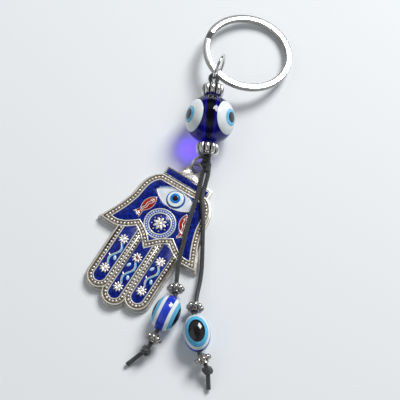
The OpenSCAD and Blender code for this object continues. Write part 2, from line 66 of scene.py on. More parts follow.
# Settings of softened(): vertices nearer than WELD are joined (in metres), faces that bend by less than
# FLAT_ANGLE are merged, and edges sharper than EDGE_ANGLE are rounded (both in degrees).
WELD = 2e-6
FLAT_ANGLE = 1
EDGE_ANGLE = 38

# Where the Mix node keeps the sockets of its two colours and its result.
MIX_FIRST, MIX_SECOND, MIX_RESULT = 6, 7, 2

Pair = tuple[float, float]
Triple = tuple[float, float, float]
Colour = tuple[float, float, float]
Ripple = Callable[[float, float, float], Pair]
Socket = bpy.types.NodeSocket
Piece = bpy.types.Object


# ---------------------------------------------------------------- curves and frames


def joint_line(name: str) -> tuple[Vector, Vector]:
    """Place and direction of a joint.

    Args:
        name: the joint's name in the record.

    Returns:
        A point on its axis in millimetres, and the axis as a unit vector.
    """
    for joint in frame["record"]["behaviour"]["joints"]:
        if joint["name"] == name:
            return Vector(joint["pos_m"]) / MM, Vector(joint["axis"]).normalized()
    raise KeyError(name)


def axes_along(axis: Vector, up: Vector = UP) -> Matrix:
    """Axes whose Z runs along a direction and whose X lies level.

    Args:
        axis: the direction of Z.
        up: what X is square to.

    Returns:
        A 3x3 rotation.
    """
    z = axis.normalized()
    x = z.cross(up).normalized()
    return Matrix((x, z.cross(x), z)).transposed()


def spline(points: list[Vector], steps: int, closed: bool = False) -> list[Vector]:
    """Smooth curve through points.

    Args:
        points: what the curve passes through.
        steps: points made for each stretch.
        closed: whether the curve returns to its start.

    Returns:
        The points of the curve.
    """
    n = len(points)
    made = []
    for i in range(n if closed else n - 1):
        if closed:
            a, b, c, d = (points[(i + k) % n] for k in (-1, 0, 1, 2))
        else:
            a, b, c, d = (points[min(max(i + k, 0), n - 1)] for k in (-1, 0, 1, 2))
        square = 2 * a - 5 * b + 4 * c - d
        cube = 3 * b - a - 3 * c + d
        for k in range(steps):
            t = k / steps
            made.append(0.5 * (2 * b + (c - a) * t + square * t**2 + cube * t**3))
    if not closed:
        made.append(points[-1].copy())
    return made


def arc(centre: Vector, radius: float, start: float, stop: float, steps: int) -> list[Vector]:
    """Points of a level arc.

    Args:
        centre: the arc's centre.
        radius: its radius.
        start: where it starts, in degrees from +X.
        stop: where it stops, in degrees from +X.
        steps: stretches between its points.

    Returns:
        The points, with both ends.
    """
    made = []
    for k in range(steps + 1):
        a = math.radians(start + (stop - start) * k / steps)
        made.append(centre + radius * Vector((math.cos(a), math.sin(a), 0)))
    return made


def spaced(path: list[Vector], pitch: float) -> list[Vector]:
    """Points at an even pitch along a path, fitted so that they fill it.

    Args:
        path: the points of the path.
        pitch: the distance wanted between neighbours.

    Returns:
        The points, with the path's two ends.
    """
    lengths = [0.0]
    for a, b in zip(path, path[1:]):
        lengths.append(lengths[-1] + (b - a).length)
    count = max(1, round(lengths[-1] / pitch))
    made, i = [], 0
    for k in range(count + 1):
        target = lengths[-1] * k / count
        while i < len(path) - 2 and lengths[i + 1] < target:
            i += 1
        span = max(lengths[i + 1] - lengths[i], 1e-9)
        made.append(path[i].lerp(path[i + 1], (target - lengths[i]) / span))
    return made


def transported(path: list[Vector], closed: bool) -> list[tuple[Vector, Vector]]:
    """Two directions square to a path at each of its points, without twist.

    Args:
        path: the points of the path.
        closed: whether it returns to its start.

    Returns:
        A pair of unit vectors for each point.
    """
    n = len(path)
    tangents = []
    for i in range(n):
        before = path[i - 1] if i or closed else path[0]
        after = path[(i + 1) % n] if i < n - 1 or closed else path[-1]
        tangents.append((after - before).normalized())
    side = tangents[0].cross(UP)
    if side.length < 1e-4:
        side = tangents[0].cross(Vector((0, 1, 0)))
    side.normalize()
    made = []
    for i, tangent in enumerate(tangents):
        if i:
            side = tangents[i - 1].rotation_difference(tangent) @ side
            side = (side - tangent * side.dot(tangent)).normalized()
        made.append((side.copy(), tangent.cross(side)))
    return made


# ---------------------------------------------------------------- mesh building


class Shape:
    """Surfaces of one piece, gathered in millimetres."""

    def __init__(self, place: Matrix | None = None, origin: Vector | None = None) -> None:
        """Starts an empty shape.

        Args:
            place: rotation from the shape's own axes to the model's.
            origin: where the shape's own origin lies.
        """
        self.place = place or Matrix.Identity(3)
        self.origin = origin or Vector((0, 0, 0))
        self.points: list[Vector] = []
        self.shades: list[float] = []
        self.faces: list[tuple[int, ...]] = []
        self.corners: list[Pair] = []

    def grid(
        self,
        rows: list[list[Vector]],
        shades: list[list[float]] | None = None,
        loop: bool = False,
        ends: bool = True,
        along: list[float] | None = None,
    ) -> None:
        """Adds a surface through rings of points.

        Args:
            rows: rings with the same number of points.
            shades: painted shade at each point, from 0 to 1.
            loop: whether the last ring joins the first.
            ends: whether the first and last rings are closed by faces.
            along: distance of each ring, for patterns that run along the piece.
        """
        start, n, m = len(self.points), len(rows[0]), len(rows)
        along = along or [float(r) for r in range(m)]
        for r, row in enumerate(rows):
            self.points.extend(row)
            self.shades.extend(shades[r] if shades else [0.0] * n)
        for r in range(m if loop else m - 1):
            near, far = start + r * n, start + (r + 1) % m * n
            low = along[r]
            high = along[r + 1] if r + 1 < m else along[r] + along[1] - along[0]
            for c in range(n):
                d = (c + 1) % n
                self.faces.append((near + c, near + d, far + d, far + c))
                self.corners.extend([(c / n, low), ((c + 1) / n, low), ((c + 1) / n, high), (c / n, high)])
        if ends and not loop:
            self.faces.append(tuple(range(start + n - 1, start - 1, -1)))
            self.faces.append(tuple(range(start + (m - 1) * n, start + m * n)))
            self.corners.extend([(c / n, along[0]) for c in range(n)])
            self.corners.extend([(c / n, along[-1]) for c in range(n)])

    def tube(
        self,
        path: list[Vector],
        radius: float | list[float],
        sides: int = 16,
        closed: bool = False,
        flat: float = 1.0,
        shade: float = 0.0,
    ) -> None:
        """Adds a round tube along a path.

        Args:
            path: the middle of the tube.
            radius: one radius, or one for each point.
            sides: points round the tube.
            closed: whether the path returns to its start.
            flat: height of the section as a share of its width.
            shade: painted shade over the whole tube.
        """
        radii = radius if isinstance(radius, list) else [radius] * len(path)
        rows, along = [], [0.0]
        for i, (point, (side, up)) in enumerate(zip(path, transported(path, closed))):
            ring = []
            for k in range(sides):
                a = math.tau * k / sides
                ring.append(point + radii[i] * (math.cos(a) * side + flat * math.sin(a) * up))
            rows.append(ring)
            if i:
                along.append(along[-1] + (point - path[i - 1]).length)
        self.grid(rows, [[shade] * sides] * len(rows), loop=closed, along=along)

    def lathe(
        self,
        profile: list[Pair],
        segments: int,
        ripple: Ripple | None = None,
        loop: bool = False,
    ) -> None:
        """Adds a turned surface about Z.

        Args:
            profile: pairs of radius and height.
            segments: points round it.
            ripple: function of angle, radius and height that gives a new radius and a painted shade.
            loop: whether the profile is a closed section.
        """
        rows, shades, along = [], [], [0.0]
        for i, (r, z) in enumerate(profile):
            ring, dark = [], []
            for k in range(segments):
                a = math.tau * k / segments
                radius, shade = ripple(a, r, z) if ripple else (r, 0.0)
                ring.append(Vector((radius * math.cos(a), radius * math.sin(a), z)))
                dark.append(shade)
            rows.append(ring)
            shades.append(dark)
            if i:
                along.append(along[-1] + math.dist(profile[i], profile[i - 1]))
        self.grid(rows, shades, loop=loop, along=along)

    def dome(
        self,
        centre: Vector,
        size: Vector,
        turn: float = 0.0,
        segments: int = 12,
        rings: int = 6,
        shade: float = 0.0,
    ) -> None:
        """Adds a whole ellipsoid.

        Args:
            centre: its middle.
            size: its three half sizes.
            turn: its turn about Z, in degrees.
            segments: points round it.
            rings: rings from pole to pole.
            shade: painted shade on its lower half.
        """
        spin = Matrix.Rotation(math.radians(turn), 3, "Z")
        rows, shades = [], []
        for i in range(rings + 1):
            lift = math.pi * (i / rings - 0.5) * 0.985
            ring = []
            for k in range(segments):
                a = math.tau * k / segments
                p = Vector((math.cos(lift) * math.cos(a), math.cos(lift) * math.sin(a), math.sin(lift)))
                ring.append(centre + spin @ Vector((p.x * size.x, p.y * size.y, p.z * size.z)))
            rows.append(ring)
            shades.append([shade if lift < 0.15 else 0.0] * segments)
        self.grid(rows, shades)

    def make(self, name: str, finish: "Finish", sharp: float = 42.0) -> Piece:
        """Turns the shape into an object.

        Args:
            name: the piece's name.
            finish: what it is dressed in.
            sharp: the angle in degrees above which an edge stays crisp.

        Returns:
            The object.
        """
        mesh = bpy.data.meshes.new(name)
        placed = [(self.origin + self.place @ p) * MM for p in self.points]
        mesh.from_pydata(placed, [], self.faces)
        layer = mesh.uv_layers.new(name="run")
        for loop, corner in zip(layer.data, self.corners):
            loop.uv = corner
        shade = mesh.attributes.new(PAINTED_SHADE_AND_TARNISH, "FLOAT", "POINT")
        shade.data.foreach_set("value", self.shades)
        return finished(name, mesh, finish, sharp)


def finished(name: str, mesh: bpy.types.Mesh, finish: "Finish", sharp: float) -> Piece:
    """Orients, smooths and dresses a mesh.

    Args:
        name: the piece's name.
        mesh: its mesh.
        finish: what it is dressed in.
        sharp: the angle in degrees above which an edge stays crisp.

    Returns:
        The object, linked to the scene.
    """
    work = bmesh.new()
    work.from_mesh(mesh)
    bmesh.ops.recalc_face_normals(work, faces=work.faces)
    work.to_mesh(mesh)
    work.free()
    mesh.polygons.foreach_set("use_smooth", [True] * len(mesh.polygons))
    mesh.set_sharp_from_angle(angle=math.radians(sharp))
    mesh.materials.append(finish.material())
    made = bpy.data.objects.new(name, mesh)
    bpy.context.collection.objects.link(made)
    return made


def softened(node: str, name: str, finish: "Finish", width: float, steps: int = 2) -> Piece:
    """Copies a node of the frame with its edges rounded, and stands in for it.

    Args:
        node: the node's name.
        name: the new piece's name.
        finish: what it is dressed in.
        width: width of the rounding.
        steps: faces across the rounding.

    Returns:
        The new object.
    """
    mesh = frame["nodes"][node].data.copy()
    mesh.materials.clear()
    work = bmesh.new()
    work.from_mesh(mesh)
    bmesh.ops.remove_doubles(work, verts=work.verts, dist=WELD)
    bmesh.ops.dissolve_limit(
        work, angle_limit=math.radians(FLAT_ANGLE), verts=work.verts, edges=work.edges,
    )
    limit = math.radians(EDGE_ANGLE)
    edges = [e for e in work.edges if e.is_manifold and e.calc_face_angle(0) > limit]
    bmesh.ops.bevel(
        work, geom=edges, offset=width * MM, segments=steps, profile=0.5, affect="EDGES",
        clamp_overlap=True, loop_slide=True, harden_normals=False,
    )
    bmesh.ops.triangulate(work, faces=[f for f in work.faces if len(f.verts) > 4])
    work.to_mesh(mesh)
    work.free()
    made = finished(name, mesh, finish, 50)
    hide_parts(node)
    return made


# ---------------------------------------------------------------- finishes


class Tree:
    """Node tree of one material."""

    def __init__(self, name: str) -> None:
        """Makes a material with one Principled shader.

        Args:
            name: the material's name.
        """
        self.material = bpy.data.materials.new(name)
        self.material.use_nodes = True
        self.tree = self.material.node_tree
        self.shader = self.tree.nodes["Principled BSDF"]
        self.coords = self.tree.nodes.new("ShaderNodeTexCoord")

    def link(self, source: Socket, target: Socket) -> None:
        """Joins two sockets."""
        self.tree.links.new(source, target)

    def noise(self, size: float, detail: float = 3.0, stretch: Triple = (1, 1, 1)) -> Socket:
        """Adds a noise pattern in the piece's own coordinates.

        Args:
            size: size of its features in millimetres.
            detail: octaves.
            stretch: scale on each axis.

        Returns:
            The socket with values near 0.5.
        """
        place = self.tree.nodes.new("ShaderNodeMapping")
        place.inputs["Scale"].default_value = [s / (size * MM) for s in stretch]
        self.link(self.coords.outputs["Object"], place.inputs["Vector"])
        made = self.tree.nodes.new("ShaderNodeTexNoise")
        made.inputs["Scale"].default_value = 1
        made.inputs["Detail"].default_value = detail
        self.link(place.outputs["Vector"], made.inputs["Vector"])
        return made.outputs["Fac"]

    def shade(self) -> Socket:
        """Reads the shade painted into the mesh at each place.

        Returns:
            The socket with values from 0 to 1.
        """
        made = self.tree.nodes.new("ShaderNodeAttribute")
        made.attribute_name = PAINTED_SHADE_AND_TARNISH
        return made.outputs["Fac"]

    def spread(self, value: Socket, low: float, high: float, out: Pair) -> Socket:
        """Maps a range of values onto another.

        Args:
            value: what is mapped.
            low: the value that gives out[0].
            high: the value that gives out[1].
            out: the two results.

        Returns:
            The mapped socket.
        """
        made = self.tree.nodes.new("ShaderNodeMapRange")
        for socket, number in zip(("From Min", "From Max", "To Min", "To Max"), (low, high, *out)):
            made.inputs[socket].default_value = number
        self.link(value, made.inputs["Value"])
        return made.outputs["Result"]

    def sum(self, a: Socket, b: Socket | float, kind: str = "ADD") -> Socket:
        """Adds, multiplies or otherwise joins two values.

        Args:
            a: the first value.
            b: the second, a socket or a number.
            kind: the Math node's operation.

        Returns:
            The result.
        """
        made = self.tree.nodes.new("ShaderNodeMath")
        made.operation = kind
        self.link(a, made.inputs[0])
        if isinstance(b, (int, float)):
            made.inputs[1].default_value = b
        else:
            self.link(b, made.inputs[1])
        return made.outputs["Value"]

    def blend(self, share: Socket, a: Colour | Socket, b: Colour) -> Socket:
        """Mixes two colours.

        Args:
            share: how much of b.
            a: the first colour, or a socket with it.
            b: the second colour.

        Returns:
            The mixed colour.
        """
        made = self.tree.nodes.new("ShaderNodeMix")
        made.data_type = "RGBA"
        self.link(share, made.inputs[0])
        if isinstance(a, tuple):
            made.inputs[MIX_FIRST].default_value = (*a, 1)
        else:
            self.link(a, made.inputs[MIX_FIRST])
        made.inputs[MIX_SECOND].default_value = (*b, 1)
        return made.outputs[MIX_RESULT]

    def bump(self, height: Socket, depth: float, strength: float = 1.0) -> None:
        """Makes the surface uneven.

        Args:
            height: the pattern.
            depth: its height in millimetres.
            strength: how much of it shows.
        """
        made = self.tree.nodes.new("ShaderNodeBump")
        made.inputs["Distance"].default_value = depth * MM
        made.inputs["Strength"].default_value = strength
        self.link(height, made.inputs["Height"])
        self.link(made.outputs["Normal"], self.shader.inputs["Normal"])

    def set(self, **values: float) -> None:
        """Sets constant values of the shader, named with _ for spaces."""
        for name, value in values.items():
            self.shader.inputs[name.replace("_", " ")].default_value = value

    def feed(self, name: str, source: Socket) -> None:
        """Joins a socket to one of the shader's."""
        self.link(source, self.shader.inputs[name])


@dataclass(frozen=True)
class Finish:
    """What a piece is dressed in. One material is made for each finish."""

    name: str

    def build(self, tree: Tree) -> None:
        """Fills the node tree of a new material."""
        raise NotImplementedError

    def material(self) -> bpy.types.Material:
        """Material of this finish, made when it is first asked for.

        Returns:
            The material. Its name ends in _finish, since the frame has materials with the slots' names.
        """
        name = f"{self.name}_finish"
        found = bpy.data.materials.get(name)
        if found is None:
            tree = Tree(name)
            self.build(tree)
            found = tree.material
        return found


@dataclass(frozen=True)
class Metal(Finish):
    """Plated or cast metal, darkened by random stains and by the shade painted into its mesh."""

    colour: Colour
    # Colour that the painted shade and the stains pull towards.
    dark: Colour
    rough: float = 0.15
    spread: float = 0.08
    grain: float = 0.8
    grain_depth: float = 0.01
    stain: float = 0.2
    plating: float = 1.0

    def build(self, tree: Tree) -> None:
        """Fills the node tree.

        Args:
            tree: the node tree of the new material.
        """
        cloud = tree.noise(self.grain * 3, 4)
        fine = tree.noise(self.grain, 3)
        stained = tree.spread(cloud, 0.45, 0.75, (0.0, self.stain))
        # The mesh's painted shade is added to the random stains before the colour is mixed.
        share = tree.sum(tree.shade(), stained)
        tree.feed("Base Color", tree.blend(share, self.colour, self.dark))
        wear_and_painted_shade = tree.spread(fine, 0.3, 0.7, (self.rough - self.spread / 2, self.rough + self.spread / 2))
        tree.feed("Roughness", tree.sum(wear_and_painted_shade, tree.sum(tree.shade(), 0.3, "MULTIPLY")))
        tree.set(Metallic=self.plating)
        tree.bump(fine, self.grain_depth)


@dataclass(frozen=True)
class Gloss(Finish):
    """Enamel, opaque glass or resin under a clear surface."""

    colour: Colour
    fleck: Colour
    rough: float = 0.12
    cloud: float = 1.6
    wave: float = 0.02
    coat: float = 0.15
    deep: float = 0.0

    def build(self, tree: Tree) -> None:
        """Fills the node tree.

        Args:
            tree: the node tree of the new material.
        """
        clouded = tree.spread(tree.noise(self.cloud, 4), 0.38, 0.68, (0.0, 1.0))
        tree.feed("Base Color", tree.blend(clouded, self.colour, self.fleck))
        wear_and_painted_shade = tree.spread(tree.noise(0.5, 2), 0.3, 0.7, (self.rough * 0.7, self.rough * 1.4))
        tree.feed("Roughness", wear_and_painted_shade)
        tree.set(Coat_Weight=self.coat, Coat_Roughness=0.04, IOR=1.52)
        if self.deep:
            tree.set(Subsurface_Weight=self.deep, Subsurface_Scale=0.0008)
        tree.bump(tree.noise(2.2, 1), self.wave)


@dataclass(frozen=True)
class ClearGlass(Finish):
    """Coloured clear glass with faint flow lines."""

    colour: Colour
    streak: Colour

    def build(self, tree: Tree) -> None:
        """Fills the node tree.

        Args:
            tree: the node tree of the new material.
        """
        flow = tree.spread(tree.noise(2.5, 2, (1.0, 0.25, 1.0)), 0.42, 0.7, (0.0, 1.0))
        tree.feed("Base Color", tree.blend(flow, self.colour, self.streak))
        tree.set(Roughness=0.0, IOR=1.44, Transmission_Weight=1.0)
        tree.bump(tree.noise(5.0, 1), 0.05)


@dataclass(frozen=True)
class WaxedCord(Finish):
    """Braided, waxed cord. Its strands cross in a fine diamond pattern, painted lighter on their crests and
    darker in the grooves between them, as light and shade.
    """

    colour: Colour
    # Colour of the strands' crests, where light is painted.
    light: Colour
    strands: int = 8
    lay: float = 1.1

    def build(self, tree: Tree) -> None:
        """Fills the node tree.

        Args:
            tree: the node tree of the new material.
        """
        split = tree.tree.nodes.new("ShaderNodeSeparateXYZ")
        tree.link(tree.coords.outputs["UV"], split.inputs["Vector"])
        turn = tree.sum(split.outputs["X"], math.tau * self.strands / 2, "MULTIPLY")
        run = tree.sum(split.outputs["Y"], math.tau / self.lay, "MULTIPLY")
        left = tree.sum(tree.sum(turn, run), 0.0, "SINE")
        right = tree.sum(tree.sum(turn, run, "SUBTRACT"), 0.0, "SINE")
        weave = tree.sum(left, right, "MULTIPLY")
        fuzz = tree.noise(0.12, 3)
        height = tree.sum(weave, tree.sum(fuzz, 0.8, "MULTIPLY"))
        # Painted light and shade: the strands' crests are lighter and the grooves between them darker.
        wear_and_painted_shade = tree.spread(height, -0.4, 1.4, (0.0, 1.0))
        tree.feed("Base Color", tree.blend(wear_and_painted_shade, self.colour, self.light))
        tree.feed("Roughness", tree.spread(fuzz, 0.3, 0.7, (0.34, 0.52)))
        tree.set(Coat_Weight=0.25, Coat_Roughness=0.3, Sheen_Weight=0.15)
        tree.bump(height, 0.12)


# Each metal's second colour is where its painted shade and stains lead: NICKEL's gives the key ring's edge
# lines and cut, POLISHED's the spacers' black grooves.
NICKEL = Metal(
    "bright_nickel", (0.86, 0.86, 0.85), (0.13, 0.12, 0.085), rough=0.11, spread=0.05, grain=0.5, stain=0.04,
)
POLISHED = Metal(
    "polished_silver", (0.88, 0.87, 0.85), (0.02, 0.02, 0.022), rough=0.14, grain=0.7, stain=0.12,
)
CAST = Metal(
    "cast_silver", (0.70, 0.68, 0.63), (0.20, 0.17, 0.12), rough=0.38, spread=0.12, grain=0.45,
    grain_depth=0.02, stain=0.4, plating=0.85,
)
BRIGHT_CAST = Metal(
    "bright_cast_silver", (0.92, 0.90, 0.86), (0.34, 0.29, 0.21), rough=0.3, grain=0.4, grain_depth=0.012,
    stain=0.2, plating=0.6,
)
CHANNEL = Metal(
    "oxidised_channel", (0.30, 0.24, 0.155), (0.06, 0.048, 0.03), rough=0.42, spread=0.2, grain=0.35,
    grain_depth=0.03, stain=0.7,
)
OXIDISED = Metal(
    "oxidised_silver", (0.56, 0.54, 0.51), (0.03, 0.028, 0.026), rough=0.24, spread=0.12, grain=0.4,
    grain_depth=0.02, stain=0.4,
)
COBALT_GLASS = ClearGlass("cobalt_glass", (0.004, 0.002, 0.30), (0.010, 0.006, 0.50))
IRIS_GLASS = Gloss("iris_glass", (0.008, 0.12, 0.58), (0.04, 0.40, 0.86), rough=0.08, cloud=0.5)
WHITE_GLASS = Gloss("white_glass", (0.90, 0.93, 0.95), (0.80, 0.88, 0.94), rough=0.1, cloud=3.0, deep=0.3)
SKY_GLASS = Gloss("light_blue_glass", (0.12, 0.50, 0.82), (0.22, 0.62, 0.88), rough=0.1, cloud=1.5, deep=0.2)
INK_GLASS = Gloss("dark_glass", (0.008, 0.009, 0.016), (0.02, 0.022, 0.035), rough=0.08, cloud=1.0)
NAVY = Gloss("navy_enamel", (0.0006, 0.002, 0.10), (0.001, 0.028, 0.36), rough=0.13, cloud=0.9, wave=0.03)
ROYAL = Gloss("royal_blue_enamel", (0.03, 0.09, 0.42), (0.05, 0.17, 0.55), rough=0.13, cloud=0.8, wave=0.03)
WHITE_ENAMEL = Gloss("white_enamel", (0.80, 0.85, 0.90), (0.68, 0.78, 0.88), rough=0.14, cloud=1.2)
PALE_ENAMEL = Gloss("pale_blue_enamel", (0.42, 0.68, 0.90), (0.62, 0.80, 0.94), rough=0.12, cloud=0.6)
RED_ENAMEL = Gloss("red_enamel", (0.28, 0.006, 0.006), (0.46, 0.022, 0.014), rough=0.12, cloud=0.8, wave=0.03)
CORAL = Gloss("dark_red_enamel", (0.16, 0.012, 0.012), (0.34, 0.03, 0.02), rough=0.12, cloud=0.5)
BLUE_RESIN = Gloss(
    "royal_blue_resin", (0.018, 0.045, 0.55), (0.03, 0.07, 0.66), rough=0.09, cloud=3.0, deep=0.15,
)
WHITE_RESIN = Gloss("white_resin", (0.90, 0.91, 0.92), (0.84, 0.87, 0.90), rough=0.1, cloud=3.0, deep=0.2)
SKY_RESIN = Gloss("light_blue_resin", (0.09, 0.47, 0.78), (0.16, 0.56, 0.84), rough=0.1, cloud=2.0, deep=0.15)
BLACK_RESIN = Gloss("black_resin", (0.006, 0.006, 0.008), (0.014, 0.014, 0.018), rough=0.08, cloud=1.0)
CORD = WaxedCord("waxed_cord", (0.004, 0.004, 0.005), (0.09, 0.092, 0.098))


def place(piece: Piece, body: str, slot: str, *nodes: str) -> Piece:
    """Rides a piece on its body, and lets it stand for nodes.

    Args:
        piece: the object.
        body: the body that it moves with.
        slot: not used.
        nodes: the frame's nodes that it replaces.

    Returns:
        The same object.
    """
    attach(piece, body)
    if nodes:
        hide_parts(*nodes)
    log.info("%s rides on %s", piece.name, body)
    return piece


# ---------------------------------------------------------------- studio


@dataclass(frozen=True)
class Lamp:
    """Square lamp: its place and side in millimetres, and its power in watts."""

    name: str
    at: Triple
    size: float
    power: float
    colour: Colour
    look_at: Triple | None = None


@dataclass
class Studio:
    """Camera, floor, sky and lamps. The spill lamp stands in for light that comes through the ball."""

    key: Lamp = Lamp("key", (470, 600, 760), 430, 10.6, (1.0, 0.99, 0.97))
    spill: Lamp = Lamp("spill", (9.4, 26.8, 4), 4, 0.0003, (0.10, 0.0, 1.0), (8.6, 26.0, 0))
    fill: Lamp = Lamp("fill", (-330, -120, 420), 420, 0.2, (0.95, 0.97, 1.0))
    sky_levels: tuple[Pair, ...] = (
        (0.0, 0.30), (0.20, 0.08), (0.42, 0.25), (0.60, 1.0), (0.80, 1.0), (0.92, 0.42), (1.0, 0.25),
    )
    sky_strength: float = 0.38
    target: Triple = (12.8, 8.94, 0.0)
    distance: float = 407.34
    elevation: float = 70.0
    view_angle: float = 18.0
    floor_drop: float = 0.06
    floor_half: float = 1500.0

    def camera(self) -> None:
        """Places the camera above the charm, looking down at it."""
        data = bpy.data.cameras.new("camera")
        data.sensor_width = 36
        data.lens = 18 / math.tan(math.radians(self.view_angle / 2))
        made = bpy.data.objects.new("camera", data)
        lift = math.radians(self.elevation)
        back = Vector((0, -math.cos(lift), math.sin(lift)))
        made.location = (Vector(self.target) + self.distance * back) * MM
        made.rotation_mode = "QUATERNION"
        made.rotation_quaternion = (-back).to_track_quat("-Z", "Y")
        bpy.context.collection.objects.link(made)
        bpy.context.scene.camera = made

    def light(self, lamp: Lamp) -> None:
        """Adds a lamp that looks at its own place, or else at the charm's middle.

        Args:
            lamp: the lamp.
        """
        data = bpy.data.lights.new(lamp.name, "AREA")
        data.size = lamp.size * MM
        data.energy = lamp.power
        data.color = lamp.colour
        made = bpy.data.objects.new(lamp.name, data)
        made.location = Vector(lamp.at) * MM
        aim = Vector(lamp.look_at or self.target) * MM - made.location
        made.rotation_mode = "QUATERNION"
        made.rotation_quaternion = aim.to_track_quat("-Z", "Y")
        bpy.context.collection.objects.link(made)

    def floor(self) -> None:
        """Lays a plain pale floor."""
        half = self.floor_half * MM
        z = -self.floor_drop * MM
        corners = [(-half, -half, z), (half, -half, z), (half, half, z), (-half, half, z)]
        mesh = bpy.data.meshes.new("floor")
        mesh.from_pydata(corners, [], [(0, 1, 2, 3)])
        tree = Tree("pale_floor")
        tree.set(Base_Color=(0.86, 0.895, 0.93, 1), Roughness=0.6, Specular_IOR_Level=0.25)
        mesh.materials.append(tree.material)
        made = bpy.data.objects.new("floor", mesh)
        bpy.context.collection.objects.link(made)

    def sky(self) -> None:
        """Surrounds the charm with soft light: a bright band half way up, dimmer overhead and low down."""
        world = bpy.data.worlds.new("studio")
        bpy.context.scene.world = world
        world.use_nodes = True
        nodes, links = world.node_tree.nodes, world.node_tree.links
        coords = nodes.new("ShaderNodeTexCoord")
        split = nodes.new("ShaderNodeSeparateXYZ")
        ramp = nodes.new("ShaderNodeValToRGB")
        links.new(coords.outputs["Generated"], split.inputs["Vector"])
        links.new(split.outputs["Z"], ramp.inputs["Fac"])
        links.new(ramp.outputs["Color"], nodes["Background"].inputs["Color"])
        elements = ramp.color_ramp.elements
        elements[0].position = self.sky_levels[0][0]
        elements[1].position = self.sky_levels[-1][0]
        for height, _ in self.sky_levels[1:-1]:
            elements.new(height)
        for element, (_, level) in zip(elements, self.sky_levels):
            element.color = (level * 0.97, level * 0.985, level, 1)
        nodes["Background"].inputs["Strength"].default_value = self.sky_strength

    def build(self) -> None:
        """Makes the whole studio."""
        self.camera()
        self.floor()
        self.sky()
        for lamp in (self.key, self.spill, self.fill):
            self.light(lamp)
        bpy.context.scene.view_settings.view_transform = "Standard"


# ---------------------------------------------------------------- cord tails


class EyeFacing(Enum):
    """Which way an oval bead's eyes look: up, or level to the side."""

    UP = 0
    SIDE = 90


@dataclass
class FlowerSpacer:
    """Small flower-shaped metal spacer on a tail."""

    diameter: float = 5.7
    length: float = 3.0
    bumps: int = 8
    bump_share: float = 0.3
    collar_wall: float = 0.42
    bore: float = 0.92

    def shape(self, centre: Vector, axis: Vector) -> Shape:
        """Draws the spacer.

        Args:
            centre: its middle.
            axis: the direction of the cord.

        Returns:
            The shape, closed round its bore.
        """
        half = self.length / 2
        bump = self.bump_share * self.diameter / 2
        reach = self.diameter / 2 - bump
        made = Shape(axes_along(axis), centre)
        collar = self.bore + self.collar_wall

        def hollowed(_: float, radius: float, height: float) -> Pair:
            """Keeps the radius, and darkens the hollow between the bumps, as patina and painted shade, and
            the rest a little.
            """
            deep = radius > collar + 0.05 and abs(height) < 0.5 * half
            return radius, 0.75 if deep else 0.15

        profile = [
            (self.bore, -half), (collar, -half), (collar + 0.12, -half + 0.15), (collar, -0.42 * half),
            (0.75 * reach, -0.36 * half), (reach + 0.2, -0.12 * half), (reach + 0.2, 0.12 * half),
            (0.75 * reach, 0.36 * half), (collar, 0.42 * half), (collar + 0.12, half - 0.15), (collar, half),
            (self.bore, half),
        ]
        made.lathe(profile, 48, hollowed, loop=True)
        for i in range(self.bumps):
            a = math.tau * i / self.bumps
            at = Vector((reach * math.cos(a), reach * math.sin(a), 0))
            made.dome(at, Vector((bump, bump, 0.62 * half)), segments=16, rings=10)
        for side in (-1, 1):
            for i in range(self.bumps):
                a = math.tau * (i + 0.5) / self.bumps
                at = Vector((0.62 * reach * math.cos(a), 0.62 * reach * math.sin(a), side * 0.42 * half))
                made.dome(at, Vector((0.33, 0.33, 0.3)), segments=10, rings=6)
        return made


